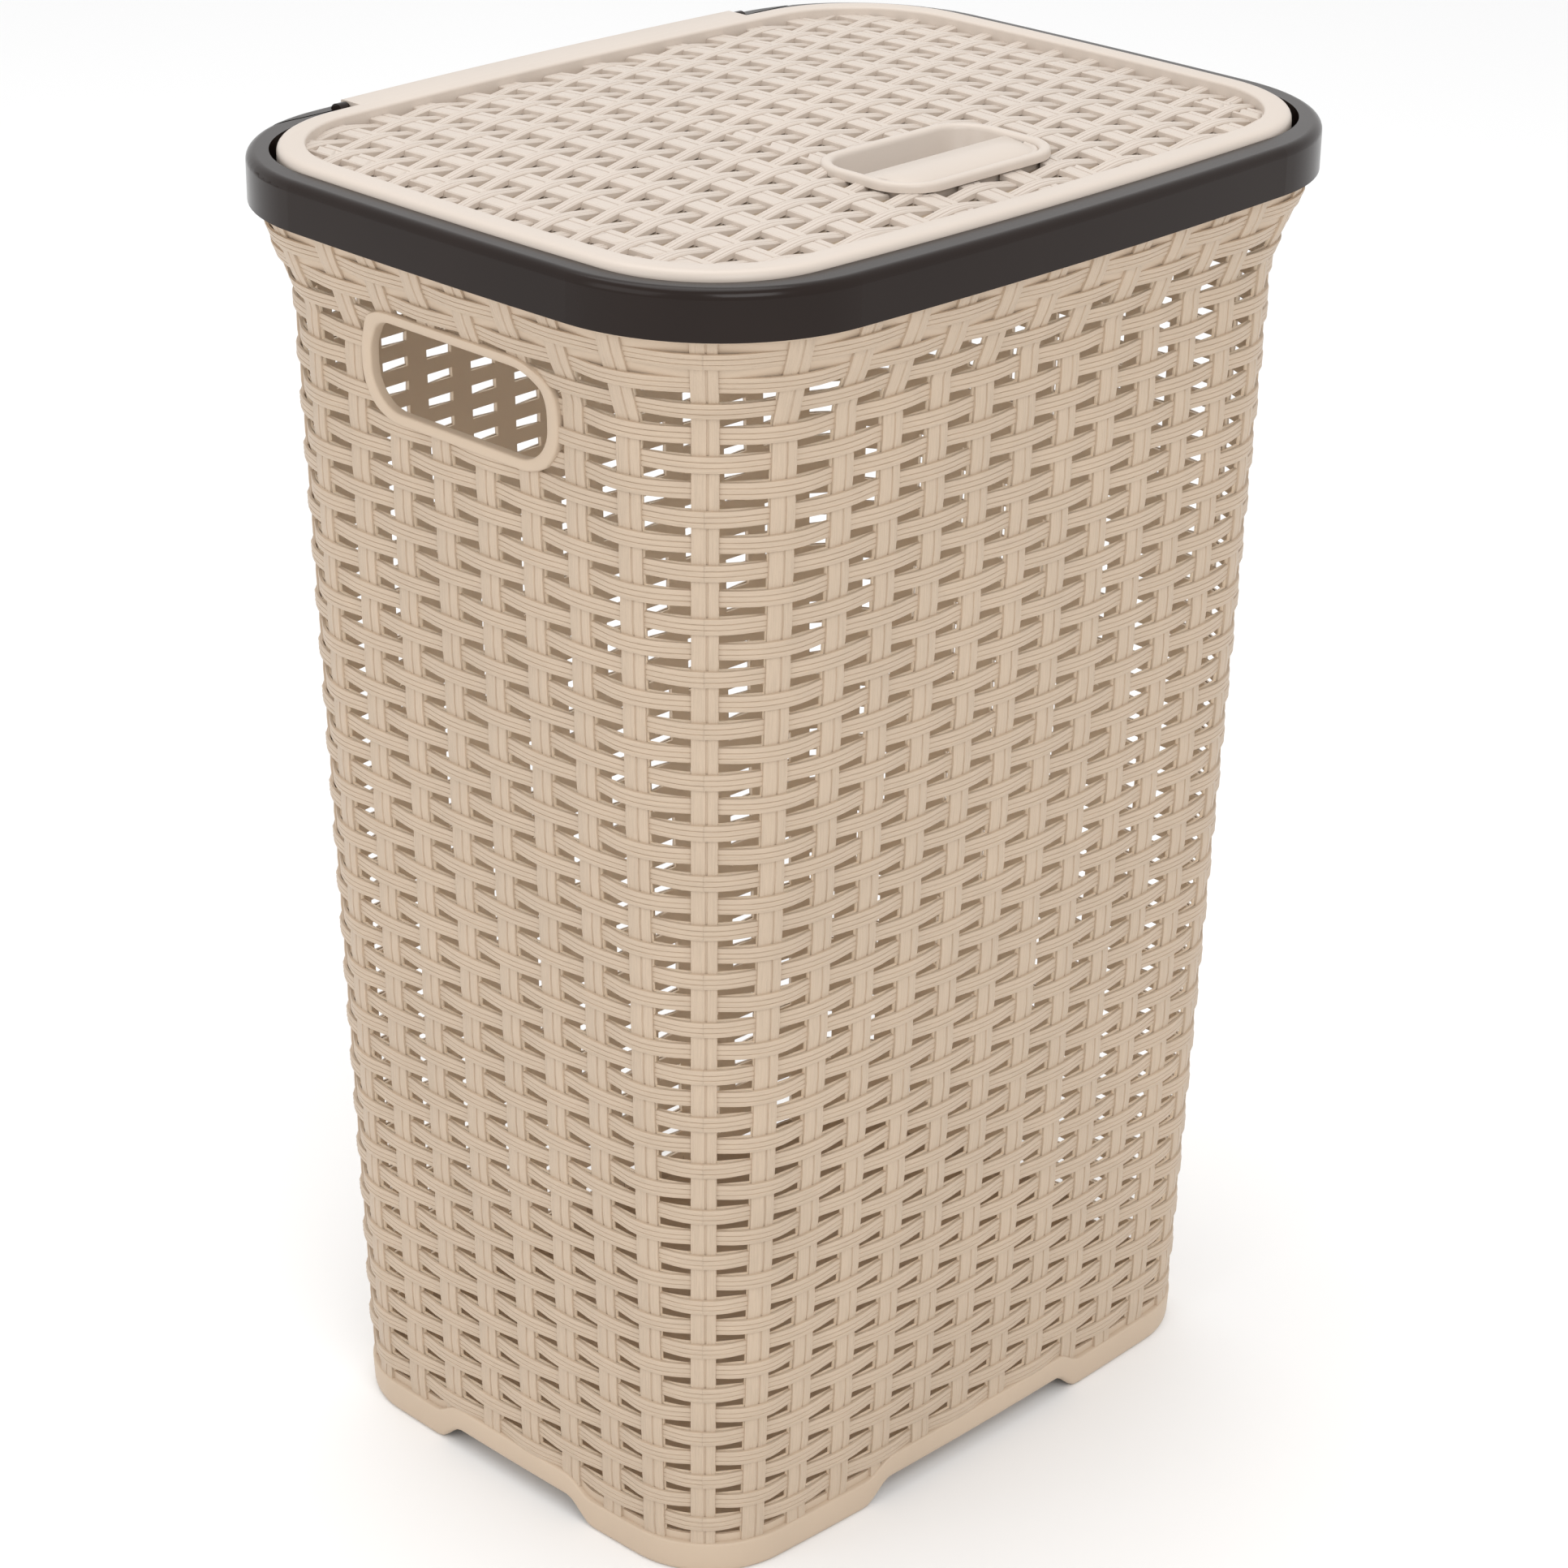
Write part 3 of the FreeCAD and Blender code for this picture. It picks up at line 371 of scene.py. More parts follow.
def holeReach(across, half, otherHalf, corner, grow):
    # Half extent of the rounded opening, grown a little, at a distance across it.
    radius, across = corner + grow, np.abs(across)
    drop = np.clip(across - (otherHalf - corner), 0, radius)
    return np.where(across < otherHalf + grow, half - corner + np.sqrt(radius ** 2 - drop ** 2), 0)


def onSide(side, y, z, out):
    # Point of a short wall at y, z: the side arc's centre plus a root, mirrored for the left.
    y, z, out = np.broadcast_arrays(y, z, out)
    radius = basketShape["sideArc"] + wallGrow(z) + out
    return np.stack([side * (np.sqrt(radius ** 2 - y ** 2) - basketShape["sideShift"]), y, z], -1)


# Strands: flatness is the wave's power, seamReach and seamStep are in staves, grain is the
# length given to one stave pitch in the surface's own coordinates.
strand = dict(halfHeight=3.5 * mm, rise=1.1 * mm, flatness=0.8, steps=6, cutMargin=3 * mm,
              seamReach=0.004, seamStep=0.015, seamRise=0.22 * mm, grain=25 * mm,
              grainShift=0.37)
strandSection = np.array([  # share of the half height, depth in mm: three reeds and two grooves
    (-1.00, -1.50), (-0.96, -0.30), (-0.72, 0.04), (-0.40, -0.02), (-0.33, -0.40), (-0.26, -0.02),
    (0.26, -0.02), (0.33, -0.40), (0.40, -0.02), (0.72, 0.04), (0.96, -0.30), (1.00, -1.50)])


def strandPoints(stave, row):
    # A strand at height firstRow + row * pitch, rising as a cosine over every second stave,
    # with a fine raised line at each corner's seam.
    height = (lattice["firstRow"] + row * lattice["rowPitch"]
              + strandSection[:, 0] * strand["halfHeight"])
    wave = -np.cos(np.pi * (stave + row))
    out = (strand["rise"] * np.sign(wave) * np.abs(wave) ** strand["flatness"]
           + strandSection[:, 1] * mm)
    wrapped = np.mod(stave + 0.5, staveCount) - 0.5
    onSeam = np.abs(wrapped[..., None] - seamStaves).min(-1) < strand["seamReach"]
    inner = np.abs(strandSection[:, 0]) < 0.98
    out = out + np.where(onSeam & inner, strand["seamRise"], 0)
    along = stave * strand["grain"] + row * strand["grainShift"]
    return wallPoint(stave, height, out), np.stack(np.broadcast_arrays(along, height), -1)


def buildStrands():
    # Closed rings of strands, and at the hand holes two halves that stop at the openings.
    even = np.arange(0, staveCount, 1 / strand["steps"])
    beside = np.array([-strand["seamStep"], strand["seamStep"]])
    extra = (seamStaves[:, None] + beside).ravel() % staveCount
    stave = np.sort(np.concatenate([even, extra]))
    rows = np.arange(1, lattice["rows"])  # the foot band stands in place of the lowest row
    level = lattice["firstRow"] + rows * lattice["rowPitch"]
    cut = np.abs(level - handHole["level"]) < handHole["halfHeight"] + strand["cutMargin"]
    whole = rows[~cut]
    for number, group in enumerate(np.array_split(whole, 4)):
        points, uv = strandPoints(stave[None, :, None], group[:, None, None])
        makePiece(f"basket_strands_{number + 1}", [tubes(points, uv, True)],
                  "hamper", materials["basketWeave"])
    share = np.linspace(0, 1, staveCount // 2 * strand["steps"])[None, :, None]
    rows = rows[cut][:, None, None]
    height = (lattice["firstRow"] + rows * lattice["rowPitch"]
              + strandSection[:, 0] * strand["halfHeight"])
    reach = holeReach(height - handHole["level"], handHole["halfLength"], handHole["halfHeight"],
                      handHole["corner"], strand["cutMargin"])
    parts = []
    for side in (1, -1):  # the back half runs from the right hole to the left, the front half on
        start = staveAtY(side, side * reach, height)
        end = staveAtY(-side, side * reach, height) + (staveCount if side < 0 else 0)
        points, uv = strandPoints(start + (end - start) * share, rows)
        parts.append(tubes(points, uv, False))
    makePiece("basket_strands_at_holes", parts, "hamper", materials["basketWeave"])


# Staves: holePitch is the pitch at the hand holes' level, the steps are points along a whole
# stave, along one that ends under a hole and along the short one above.
stave = dict(dip=0.3 * mm, level=-0.12 * mm, foot=5 * mm, top=577.5 * mm, holePitch=28.4 * mm,
             wholeSteps=101, lowerSteps=88, upperSteps=10, grain=25 * mm)
staveSection = np.array([  # share of a pitch from the stave's middle, depth in mm: two reeds
    (-0.212, -1.60), (-0.206, -0.25), (-0.188, 0.0), (0.012, 0.0), (0.024, -0.5), (0.044, -0.5),
    (0.056, 0.0), (0.188, 0.0), (0.206, -0.25), (0.212, -1.60)])


# The foot: height, flat half lengths and blend of the arches, the level where the edge is
# followed round, and the band's height at the corners and over the arches.
foot = dict(archLevel=10 * mm, longArch=57 * mm, shortArch=36 * mm, archBlend=16 * mm,
            level=5 * mm, bandCorner=15.4 * mm, bandArch=12.7 * mm)


def footEdge(x, y):
    # Height of the basket's lower edge: smooth arches under the long and the short sides.
    longWay = np.abs(y) * basketShape["halfX"] > np.abs(x) * basketShape["halfY"]
    across = np.where(longWay, np.abs(x), np.abs(y))
    inner = np.where(longWay, foot["longArch"], foot["shortArch"])
    share = np.clip((inner + foot["archBlend"] - across) / foot["archBlend"], 0, 1)
    return foot["archLevel"] * share * share * (3 - 2 * share)


def stavePoints(number, z):
    # A stave of even width, sinking a little as a cosine under every second strand.
    row = (z - lattice["firstRow"]) / lattice["rowPitch"]
    share, depth = staveSection[:, 0], staveSection[:, 1] * mm
    out = stave["level"] + stave["dip"] * np.cos(np.pi * (row + number)) + depth
    uv = np.stack(np.broadcast_arrays(z, (number + share) * stave["grain"]), -1)
    return wallPoint(evenWidth(number, share, z), z, out), uv


def buildStaves():
    # Whole staves from the foot to the rim, and the ones that a hand hole cuts in two.
    numbers = np.arange(staveCount)
    cutStaves = [staveAtY(side, offset * stave["holePitch"], np.array(handHole["level"])).round()
                 for side in (1, -1) for offset in (-1.5, -0.5, 0.5, 1.5)]
    crossing = np.isin(numbers, np.mod(cutStaves, staveCount))
    flat = wallPoint(numbers[:, None, None], stave["foot"], 0)
    bottom = stave["foot"] + footEdge(flat[..., 0], flat[..., 1])
    chosen = numbers[crossing][:, None, None]
    middle = np.where(chosen < staveCount / 2, sideMiddles[1], sideMiddles[-1])
    y = (chosen + staveSection[:, 0] - middle) * stave["holePitch"]
    reach = holeReach(y, handHole["halfHeight"], handHole["halfLength"], handHole["corner"],
                      strand["cutMargin"])
    runs = [(numbers[~crossing][:, None, None], bottom[~crossing], stave["top"],
             stave["wholeSteps"]),
            (chosen, bottom[crossing], handHole["level"] - reach, stave["lowerSteps"]),
            (chosen, handHole["level"] + reach, stave["top"], stave["upperSteps"])]
    parts = []
    for number, start, end, steps in runs:
        share = np.linspace(0, 1, steps)[None, :, None]
        points, uv = stavePoints(number, start + (end - start) * share)
        parts.append(tubes(points, uv, False, reverse=True))
    makePiece("basket_staves", parts, "hamper", materials["basketWeave"])


# The inner wall: its lower and upper edge, the height about the hand holes with finer cells,
# the margin of the holes and the distance beyond which a cell is on a short side.
innerSheet = dict(foot=11 * mm, top=554 * mm, fineReach=32 * mm, holeMargin=3 * mm,
                  shortSideX=150 * mm)


def buildInnerWall():
    # A sheet of cells between two surfaces; slot cells and the hand holes are left out, and
    # every edge between a kept cell and a missing one gets a closing face.
    edge = lattice["staveEdge"]
    coarse = np.array([-edge, edge])
    fine = np.concatenate([np.linspace(-edge, edge, 7), np.linspace(edge, 1 - edge, 7)[1:-1]])
    numbers, across = [], []
    for number in range(staveCount):
        shortSide = number % (staveCount // 2) >= lattice["longPitches"]
        across.append(fine if shortSide else coarse)
        numbers.append(np.full(len(across[-1]), float(number)))
    numbers, across = np.concatenate(numbers), np.concatenate(across)
    moved = across > 0.5
    numbers, across = numbers + moved, across - moved
    columns = numbers + across
    levels = [innerSheet["foot"]]
    for row in range(lattice["openRows"]):
        z = lattice["firstRow"] + (row + 0.5) * lattice["rowPitch"]
        near = abs(z + lattice["rowPitch"] / 2 - handHole["level"]) < innerSheet["fineReach"]
        low, high = z - lattice["slotHeight"] / 2, z + lattice["slotHeight"] / 2
        levels += list(np.linspace(low, high, 3 if near else 2))
        if near:
            levels += list(np.linspace(high, low + lattice["rowPitch"], 5)[1:-1])
    levels = np.unique(np.array(levels + [innerSheet["top"]]).round(7))
    count, rise = len(columns), len(levels)
    following = np.roll(columns, -1)
    following[-1] += staveCount
    middleStave = (columns + following) / 2
    middleLevel = (levels[:-1] + levels[1:]) / 2
    inSlotColumn = np.abs(np.mod(middleStave, 1) - 0.5) < 0.5 - edge
    row = (middleLevel - lattice["firstRow"]) / lattice["rowPitch"]
    inSlotRow = ((np.abs(np.mod(row, 1) - 0.5) * lattice["rowPitch"] < lattice["slotHeight"] / 2)
                 & (row > 0) & (row < lattice["openRows"]))
    keep = ~(inSlotColumn[:, None] & inSlotRow[None, :])
    middle = wallPoint(middleStave[:, None], middleLevel[None, :], 0)
    reach = holeReach(middle[..., 2] - handHole["level"], handHole["halfLength"],
                      handHole["halfHeight"], handHole["corner"], innerSheet["holeMargin"])
    onShortSide = np.abs(middle[..., 0]) > innerSheet["shortSideX"]
    keep &= ~((np.abs(middle[..., 1]) < reach) & onShortSide)
    line = evenWidth(numbers[:, None], across[:, None], levels[None, :])
    outer = wallPoint(line, levels[None, :], wall["outer"])
    inner = wallPoint(line, levels[None, :], wall["inner"])
    index = np.arange(count * rise).reshape(count, rise)
    ahead = np.roll(index, -1, 0)
    a, b, c, d = index[:, :-1], ahead[:, :-1], ahead[:, 1:], index[:, 1:]
    shift = count * rise
    faces = [np.stack([a, b, c, d], -1)[keep], np.stack([a, d, c, b], -1)[keep] + shift]
    padded = np.zeros((count, rise + 1), bool)
    padded[:, 1:-1] = keep
    start = padded[:, 1:] & ~padded[:, :-1]
    stop = ~padded[:, 1:] & padded[:, :-1]
    faces.append(np.stack([index, index + shift, ahead + shift, ahead], -1)[start])
    faces.append(np.stack([index, ahead, ahead + shift, index + shift], -1)[stop])
    before = np.roll(keep, 1, 0)
    left, right = keep & ~before, ~keep & before
    faces.append(np.stack([a, d, d + shift, a + shift], -1)[left])
    faces.append(np.stack([a, a + shift, d + shift, d], -1)[right])
    points = np.concatenate([outer.reshape(-1, 3), inner.reshape(-1, 3)])
    faces = np.concatenate(faces)
    used, faces = np.unique(faces, return_inverse=True)
    part = (points[used], faces.reshape(-1, 4), None, [])
    # The inner wall's paler material is painted light: the basket's own plastic made brighter to
    # stand in for the light inside.
    return makePiece("basket_inner_wall", [part], "hamper",
                     materials["basketInsidePaintedLight"], sharp=30)


# The band's points in each stave pitch, and its closed section: share of its height, extra
# height and outset in mm.
footBand = dict(steps=8, profile=[
    (0, 0.0, -2.9), (0, 0.0, -1.6), (0, 0.25, -0.8), (0, 0.9, -0.1), (0, 2.0, 0.4), (0, 3.6, 0.7),
    (1, -1.1, 0.95), (1, -0.4, 0.8), (1, 0.0, 0.35), (1, 0.2, -1.45), (1, 4.0, -1.45),
    (1, 4.0, -2.9)])


def buildFootBand():
    # A closed section carried round the foot; its lower edge follows the arches.
    number = np.arange(0, staveCount, 1 / footBand["steps"])[:, None]
    flat = wallPoint(number, foot["level"], 0)
    low = footEdge(flat[..., 0], flat[..., 1])
    share = low / foot["archLevel"]
    high = low + foot["bandCorner"] + (foot["bandArch"] - foot["bandCorner"]) * share
    profile = np.array(footBand["profile"])
    z = low + (high - low) * profile[:, 0] + profile[:, 1] * mm
    points = wallPoint(number, z, profile[:, 2] * mm)[None]
    makePiece("basket_foot_band", [tubes(points, None, True)], "hamper",
              materials["basketPlain"], sharp=50)


# The collar: its levels up to the rim, and the notch in the lip behind the hinge.
collar = dict(steps=12, levels=[553.8 * mm, 559 * mm, 564 * mm, 570 * mm, 576.5 * mm],
              notchHalf=123 * mm, notchFloor=586.8 * mm)


def buildCollar():
    # The closed flared band above the slots, and the upright lip that the ring hides.
    number = np.arange(0, staveCount, 1 / collar["steps"])[:, None]
    level = np.array(collar["levels"] + [wall["lipTop"]])
    edge = wallPoint(number, wall["lipTop"], 0)
    behindHinge = (np.abs(edge[..., 0]) < collar["notchHalf"]) & (edge[..., 1] > 0)
    level = np.where(behindHinge, np.minimum(level, collar["notchFloor"]), level)
    z = np.concatenate([level, level[:, ::-1]], axis=1)
    out = np.repeat([wall["outer"], wall["inner"]], level.shape[1])
    points = wallPoint(number, z, out)[None]
    makePiece("basket_collar", [tubes(points, None, True, reverse=True)], "hamper",
              materials["basketPlain"])


# The bead under the ring: points in each stave pitch, and its closed section.
topBead = dict(steps=6, profile=[  # height and outset in mm
    (573.9, -2.0), (575.2, -0.4), (575.5, 1.2), (575.8, 1.7), (576.3, 1.7), (576.4, -2.0)])


def buildTopBead():
    # A thin flange round the wall where the ring ends.
    number = np.arange(0, staveCount, 1 / topBead["steps"])[:, None]
    profile = np.array(topBead["profile"])
    points = wallPoint(number, profile[:, 0] * mm, profile[:, 1] * mm)[None]
    makePiece("basket_top_bead", [tubes(points, None, True)], "hamper",
              materials["basketPlain"], sharp=50)


def buildBezels():
    # A rounded frame about each hand hole, lying on the wall's own surface.
    centre, normal = roundedRectangle(handHole["halfLength"], handHole["halfHeight"],
                                      handHole["corner"], 14)
    proud, long = handHole["proud"] / mm, handHole["bezelLong"] / mm  # profile: outset, rise
    profile = np.array([(0.0, -3.0), (0.0, proud - 1.1), (0.3, proud - 0.35), (1.0, proud),
                        (long - 1.2, proud), (long - 0.4, proud - 0.3), (long, proud - 1.0),
                        (long, -2.0), (3.0, -3.0)]) * mm
    parts = []
    for side in (1, -1):
        def place(y, z, out):  # the frame is a fifth narrower above and below than at the ends
            past = np.clip(np.abs(z) - handHole["halfHeight"], 0, 6 * mm)
            squeeze = z * (1 - 0.2 * past / np.maximum(np.abs(z), mm))
            return onSide(side, y, handHole["level"] + squeeze, out)
        points, faces, uv, caps = ringSweep(centre, normal, handHole["corner"], profile, place)
        parts.append((points, faces if side > 0 else faces[:, ::-1], uv, caps))
    makePiece("basket_hand_hole_bezels", parts, "hamper",
              materials["basketPlain"], sharp=50)


# The floor: top and underside, the gap to the outline, and the lift towards the wall.
basketFloor = dict(top=14.6 * mm, under=12 * mm, outlineLevel=14 * mm, gap=1.8 * mm,
                   share=[0.1, 0.3, 0.5, 0.7, 0.9, 0.955, 0.97, 0.985, 1.0],
                   lift=[0.0, 0.0, 0.0, 0.0, 0.0, 0.1, 0.6, 2.2, 5.0])


def buildFloor():
    # The raised floor: the outline drawn in by shares over the top, and out again below.
    turn = outlineTurns(basketShape, 14, 14)
    share, lift = np.array(basketFloor["share"]), np.array(basketFloor["lift"]) * mm
    grow = wallGrow(basketFloor["outlineLevel"]) - basketFloor["gap"]
    x, y = outlinePoint(basketShape, turn, grow)
    draw = np.concatenate([share, share[::-1]])[:, None]
    under = np.full(len(share), basketFloor["under"])
    z = np.concatenate([basketFloor["top"] + lift, under])[:, None]
    points = np.stack(np.broadcast_arrays(x * draw, y * draw, z), -1)[None]
    makePiece("basket_floor", [tubes(points, None, False, reverse=True)], "hamper",
              materials["basketPlain"])


# The hinge's axis: its distance behind the middle and its height.
hinge = dict(reach=152.8 * mm, level=595.6 * mm)

# The lid: height of its edge and crown over the field, columns of blocks and rows of strands,
# their waves and dips, and the sheet below them. reachGrow ends the weave under the border.
# The grip: the cup's place in front of the middle and the opening that cuts the weave.
lid = dict(edgeHeight=596.8 * mm, crown=7.2 * mm, fieldX=183 * mm, fieldY=138 * mm, columns=14,
           columnPitch=25.1 * mm, rows=26, rowPitch=10.65 * mm, rowShift=-4.03 * mm,
           wave=1.35 * mm, blockLevel=-0.6 * mm, blockDip=2.2 * mm, dipInner=2.0 * mm,
           dipOuter=3.9 * mm, floorDrop=4.0 * mm, thickness=1.6 * mm,
           reachGrow=-11.2 * mm, stepsPerCrossing=10)
grip = dict(offset=81 * mm, halfLength=43.5 * mm, halfDepth=25.5 * mm, corner=15 * mm,
            margin=3 * mm, cutMargin=2.9 * mm)


def domeHeight(x, y):
    # Crest of the weave: the edge height plus a crown falling off as a parabola each way.
    return lid["edgeHeight"] + lid["crown"] * (
        (1 - (x / lid["fieldX"]) ** 2) * (1 - (y / lid["fieldY"]) ** 2))


# The lid's border: points along each side and corner, and its closed section.
lidEdge = dict(sideSteps=16, cornerSteps=18, profile=[  # inset and height in mm
    (0.0, 586.3), (0.0, 595.6), (0.12, 597.0), (0.55, 598.2), (1.3, 599.1), (2.4, 599.7),
    (3.8, 599.97), (5.0, 600.0), (10.7, 600.0), (11.4, 599.85), (11.85, 599.4), (12.0, 598.8),
    (12.0, 591.0), (10.0, 591.0), (10.0, 597.6), (2.0, 597.6), (2.0, 586.3)])


def buildLidBorder():
    # One closed section carried round the lid: skirt, rounded top and the step to the weave.
    turn = outlineTurns(lidShape, lidEdge["sideSteps"], lidEdge["cornerSteps"])[:, None]
    profile = np.array(lidEdge["profile"]) * mm
    x, y = outlinePoint(lidShape, turn, -profile[:, 0])
    points = np.stack(np.broadcast_arrays(x, y, profile[:, 1]), -1)[None]
    return makePiece("lid_border", [tubes(points, None, True)], "lid",
                     materials["lidPlain"], sharp=50)


# The sheet under the weave: its outer edge, and its soft rectangular hole for the cup.
lidPanel = dict(grow=-10.5 * mm, holeX=46 * mm, holeY=28 * mm, power=4.5, steps=14)


def buildLidFloor():
    # The closed sheet under the weave, from the border to a soft rectangle under the grip's
    # rim: top and underside share one closed section.
    turn = outlineTurns(lidShape, 16, 16)
    x, y = outlinePoint(lidShape, turn, lidPanel["grow"])
    angle = np.arctan2(y + grip["offset"], x)
    power, steps = lidPanel["power"], lidPanel["steps"]
    reach = ((np.abs(np.cos(angle)) / lidPanel["holeX"]) ** power
             + (np.abs(np.sin(angle)) / lidPanel["holeY"]) ** power) ** (-1 / power)
    innerX, innerY = reach * np.cos(angle), reach * np.sin(angle) - grip["offset"]
    share = np.linspace(0, 1, steps)
    share = np.concatenate([share, share[::-1]])[None, :]
    drop = np.repeat([lid["floorDrop"], lid["floorDrop"] + lid["thickness"]], steps)
    x = x[:, None] + (innerX - x)[:, None] * share
    y = y[:, None] + (innerY - y)[:, None] * share
    points = np.stack([x, y, domeHeight(x, y) - drop], -1)[None]
    # The sheet's darker material is painted shade: the lid's own plastic darkened to stand in for
    # the shade in the recess under the weave.
    makePiece("lid_panel", [tubes(points, None, True)], "lid",
              materials["lidRecessPaintedShade"])


# The flap's section is distance past the long arc and height; the knuckle's is distance along
# the hinge and radius: all in mm.
flap = dict(halfLength=116 * mm, steps=41, around=32, profile=[
    (-5.6, 597.8), (-5.6, 599.97), (8.2, 599.97), (8.9, 599.75), (9.25, 599.1), (9.25, 596.5),
    (7.5, 596.5), (7.5, 597.8)], knuckle=[
    (92.0, 1.55), (92.0, 3.0), (92.3, 3.3), (115.7, 3.3), (116.0, 3.0), (116.0, 1.55)])


def buildFlap():
    # The rear strip that covers the hinge, concentric with the rear edge, and two knuckles.
    x = np.linspace(-flap["halfLength"], flap["halfLength"], flap["steps"])[:, None]
    profile, knuckle = np.array(flap["profile"]) * mm, np.array(flap["knuckle"]) * mm
    y = np.sqrt((lidShape["frontArc"] + profile[:, 0]) ** 2 - x ** 2) - lidShape["frontShift"]
    points = np.stack(np.broadcast_arrays(x, y, profile[:, 1]), -1)[None]
    parts = [tubes(points, None, False)]
    around = np.linspace(0, 2 * math.pi, flap["around"], endpoint=False)[:, None]
    for side in (1, -1):
        points = np.stack(np.broadcast_arrays(
            side * knuckle[:, 0], hinge["reach"] + knuckle[:, 1] * np.cos(around),
            hinge["level"] + knuckle[:, 1] * np.sin(around)), -1)[None]
        parts.append(tubes(points, None, True, reverse=side > 0))
    makePiece("lid_flap", parts, "lid", materials["lidPlain"], sharp=50)


lidStrandSection = np.array([  # across in mm, depth in mm: three reeds
    (-3.0, -2.8), (-2.95, -0.7), (-2.4, -0.1), (-1.35, -0.1), (-1.1, -0.5), (-0.85, 0.0),
    (0.85, 0.0), (1.1, -0.5), (1.35, -0.1), (2.4, -0.1), (2.95, -0.7), (3.0, -2.8)])
lidBlockSection = np.array([  # across in mm, depth in mm: a broad reed and a narrow one
    (-5.5, -2.8), (-5.4, -0.5), (-4.9, 0.0), (0.8, 0.0), (1.1, -0.6), (1.5, -0.6), (1.8, 0.0),
    (4.9, 0.0), (5.4, -0.5), (5.5, -2.8)])


def lidStrips(fixed, index, section, alongX, start, end, samples):
    # Strips at a fixed y (or x), rising over every second crossing strip and dipping under
    # the others, on the dome; start and end are given for every line of the section.
    share = np.linspace(0, 1, samples)[None, :, None]
    along = start + (end - start) * share
    across = fixed + section[:, 0] * mm
    pitch = lid["columnPitch"] if alongX else lid["rowPitch"]
    count = lid["columns"] if alongX else lid["rows"]
    crossing = (along - (0 if alongX else lid["rowShift"])) / pitch + (count - 1) / 2
    wave = np.cos(np.pi * (crossing + index)) * (1 if alongX else -1)
    if alongX:
        swing = lid["wave"] * (wave - 1)
    else:  # flat, with a short dip under each strand that passes over
        apart = np.arccos(np.clip(-wave, -1, 1)) / np.pi * pitch
        share = np.clip((apart - lid["dipInner"]) / (lid["dipOuter"] - lid["dipInner"]), 0, 1)
        rise = share * share * (3 - 2 * share)
        swing = lid["blockLevel"] + lid["blockDip"] * (rise - 1)
    along, across, swing = np.broadcast_arrays(along, across, swing)
    x, y = (along, across) if alongX else (across, along)
    deepest = lid["floorDrop"] + 0.5 * lid["thickness"]
    z = domeHeight(x, y) + np.maximum(swing + section[:, 1] * mm, -deepest)
    uv = np.stack([along, across], -1)
    return tubes(np.stack([x, y, z], -1), uv, False, reverse=alongX)


def cupRing(halfX, halfY, corner, level, steps=12):
    # One closed outline of the cup: a rounded rectangle about the cup's middle at a level.
    centre, normal = roundedRectangle(halfX * mm, halfY * mm, corner * mm, steps)
    flat = centre + normal * corner * mm
    return np.column_stack([flat[:, 0], flat[:, 1] - grip["offset"],
                            np.full(len(flat), level * mm)])


# The cup's rings are half length, half depth, corner and level; the plate's lines are inset
# from its front outline and level, then distance behind the middle and level: all in mm.
cup = dict(
    rings=[(20, 8, 4, 584.9), (38.5, 20.5, 11, 584.9), (40.0, 22.0, 12.2, 585.3),
           (40.9, 22.9, 13.0, 586.4), (43.3, 25.3, 14.8, 601.0), (43.6, 25.6, 15.1, 602.0),
           (44.2, 26.2, 15.7, 602.75), (45.2, 27.2, 16.7, 603.1), (46.6, 28.6, 18.1, 603.2),
           (47.6, 29.6, 19.1, 603.0), (48.2, 30.2, 19.7, 602.5), (48.5, 30.5, 20.0, 601.6),
           (48.5, 30.5, 20.0, 599.4), (45.0, 27.0, 16.5, 599.2), (44.7, 26.7, 16.2, 594.0),
           (42.2, 24.2, 14.0, 584.9), (40.9, 22.9, 12.9, 583.7), (39.8, 21.8, 12.0, 583.3),
           (20, 8, 4, 583.3)],
    plateHalf=43.4, plateFront=-25.4, plateCorner=14.9, plateSteps=49,
    plate=[(0.0, 598.4), (0.0, 601.2), (0.5, 601.7), (1.5, 601.75), (2.0, 601.3), (2.5, 601.3),
           (3.0, 601.75)],
    plateBack=[(1.1, 601.75), (1.5, 601.5), (1.6, 601.0), (1.6, 598.4)])


def buildGripCup():
    # Rings from the middle of the pocket's floor up its wall, over the soft rim and down
    # outside to the cup's underside; and the finger plate over the front half.
    rings = np.stack([cupRing(*ring) for ring in cup["rings"]])[None]
    half, rounding = cup["plateHalf"], cup["plateCorner"]
    share = np.linspace(-1, 1, cup["plateSteps"])
    lines = []
    for inset, level in cup["plate"]:
        x, corner = share * (half - inset), rounding - inset
        drop = np.clip(np.abs(x) - (half - rounding), 0, corner)
        edge = cup["plateFront"] + inset + corner - np.sqrt(corner ** 2 - drop ** 2)
        lines.append(np.stack([x, edge, np.full_like(x, level)], 1))
    for depth, level in cup["plateBack"]:
        lines.append(np.stack([share * half, np.full_like(share, depth),
                               np.full_like(share, level)], 1))
    sheet = np.stack(lines) * mm
    sheet[..., 1] -= grip["offset"]
    points = np.swapaxes(sheet, 0, 1)[None]
    parts = [tubes(rings, None, False), tubes(points, None, False)]
    return makePiece("lid_grip_cup", parts, "lid", materials["lidPlain"], sharp=50)


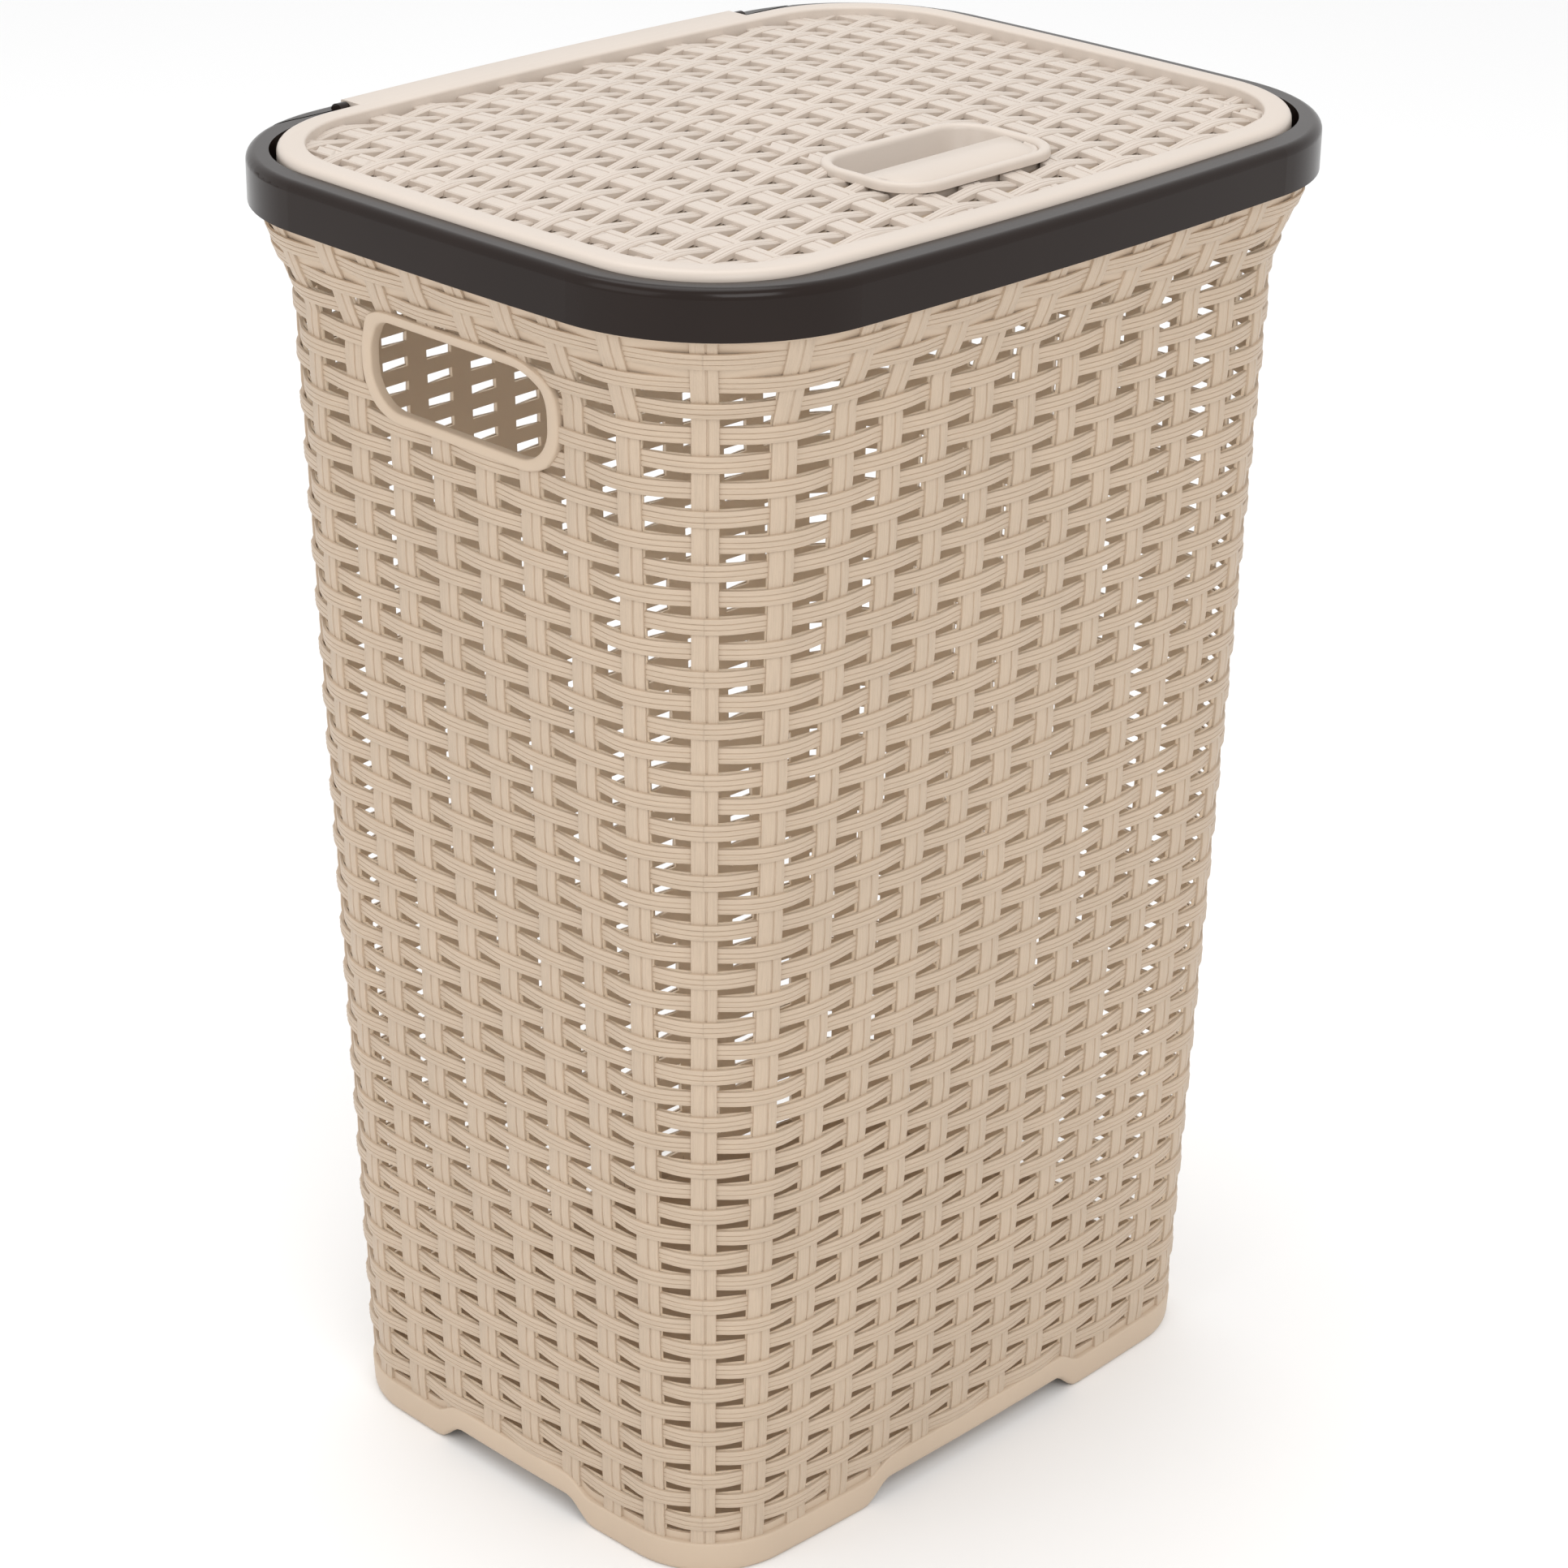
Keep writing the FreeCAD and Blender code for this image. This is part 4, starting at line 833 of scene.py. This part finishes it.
def buildLidWeave():
    # Strands along X and blocks along Y: whole ones, and the ones that the grip cuts in two.
    strips = {True: [], False: []}
    for alongX in (True, False):
        section = lidStrandSection if alongX else lidBlockSection
        count = lid["rows"] if alongX else lid["columns"]
        pitch = lid["rowPitch"] if alongX else lid["columnPitch"]
        fixed = ((np.arange(count) - (count - 1) / 2) * pitch)[:, None, None]
        fixed = fixed + (lid["rowShift"] if alongX else 0)
        index = np.arange(count)[:, None, None]
        across = fixed + section[:, 0] * mm
        reach = outlineReach(lidShape, across, lid["reachGrow"], alongX)
        offset = across + grip["offset"] if alongX else across
        halfAlong, halfAcross = ((grip["halfLength"], grip["halfDepth"]) if alongX
                                 else (grip["halfDepth"], grip["halfLength"]))
        hole = holeReach(offset, halfAlong, halfAcross, grip["corner"], grip["margin"])
        cut = (np.abs(offset).max(-1) < halfAcross + grip["cutMargin"]).ravel()
        samples = (lid["columns"] if alongX else lid["rows"]) * lid["stepsPerCrossing"]
        strips[alongX].append(lidStrips(fixed[~cut], index[~cut], section, alongX, -reach[~cut],
                                        reach[~cut], samples))
        middle = 0.0 if alongX else -grip["offset"]
        strips[alongX].append(lidStrips(fixed[cut], index[cut], section, alongX, -reach[cut],
                                        middle - hole[cut], samples // (2 if alongX else 6)))
        strips[alongX].append(lidStrips(fixed[cut], index[cut], section, alongX,
                                        middle + hole[cut], reach[cut],
                                        samples // 2 if alongX else int(samples * 0.7)))
    makePiece("lid_strands", strips[True], "lid", materials["lidWeave"])
    makePiece("lid_blocks", strips[False], "lid", materials["lidWeave"])


# The surroundings: a pale floor, a white world and three square lamps aimed at one point;
# each lamp is name, place, size in metres and power in watts.
studio = dict(floorHalf=6.0, floorColor=(0.9, 0.9, 0.9, 1), floorRoughness=0.8,
              worldColor=(1, 1, 1, 1), worldStrength=0.95, aim=(0, 0, 0.35),
              lamps=[("keyLamp", (-1.2, -2.2, 2.4), 1.6, 28),
                     ("fillLamp", (-2.6, 0.2, 1.6), 1.8, 12),
                     ("topLamp", (0.2, 0.6, 3.0), 1.8, 20)])


def buildStage():
    # Plain colours, the floor at the hamper's foot, the world, and the lamps turned to the aim.
    scene.view_settings.view_transform = "Standard"
    half = studio["floorHalf"]
    mesh = bpy.data.meshes.new("floor")
    mesh.from_pydata([(-half, -half, 0), (half, -half, 0), (half, half, 0), (-half, half, 0)], [],
                     [(0, 1, 2, 3)])
    floor = bpy.data.objects.new("floor", mesh)
    scene.collection.objects.link(floor)
    material = bpy.data.materials.new("paleFloor")
    material.use_nodes = True
    shader = material.node_tree.nodes["Principled BSDF"]
    shader.inputs["Base Color"].default_value = studio["floorColor"]
    shader.inputs["Roughness"].default_value = studio["floorRoughness"]
    mesh.materials.append(material)
    world = bpy.data.worlds.new("studio")
    scene.world = world
    world.use_nodes = True
    background = world.node_tree.nodes["Background"]
    background.inputs["Color"].default_value = studio["worldColor"]
    background.inputs["Strength"].default_value = studio["worldStrength"]
    for name, place, size, power in studio["lamps"]:
        light = bpy.data.lights.new(name, "AREA")
        light.shape = "SQUARE"
        light.size = size
        light.energy = power
        lamp = bpy.data.objects.new(name, light)
        scene.collection.objects.link(lamp)
        lamp.location = place
        toward = Vector(studio["aim"]) - Vector(place)
        lamp.rotation_euler = toward.to_track_quat("-Z", "Y").to_euler()
    print("stage built: floor, world and", len(studio["lamps"]), "lamps")


# The camera: lens and sensor in mm, its three axes and its place in metres.
view = dict(lens=92.42, sensor=36.0, right=(0.700372, -0.713669, 0.012462),
            up=(0.288154, 0.298672, 0.909814), back=(-0.653029, -0.633617, 0.414828),
            place=(-1.1873, -1.1515, 1.0480))


def buildCamera():
    # The camera's matrix has its right, up and back axes and its place as columns.
    lens = bpy.data.cameras.new("camera")
    lens.sensor_width = view["sensor"]
    lens.lens = view["lens"]
    camera = bpy.data.objects.new("camera", lens)
    scene.collection.objects.link(camera)
    columns = [view["right"], view["up"], view["back"], view["place"]]
    camera.matrix_world = Matrix([[column[i] for column in columns] for i in range(3)]
                                 + [[0, 0, 0, 1]])
    scene.camera = camera


buildCamera()
buildStage()
buildStrands()
buildStaves()
innerWall = buildInnerWall()
buildFootBand()
buildCollar()
buildTopBead()
buildBezels()
buildFloor()
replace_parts(innerWall, "basket_body")
print("basket built")
lidBorder = buildLidBorder()
buildLidFloor()
buildFlap()
buildLidWeave()
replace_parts(lidBorder, "lid")
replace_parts(buildGripCup(), "grip_cup")
print("lid and cup built")
for name in ("rim_ring", "hinge_pin_left", "hinge_pin_right"):
    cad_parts[name].data.materials.clear()
    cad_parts[name].data.materials.append(materials["ringBrown"])
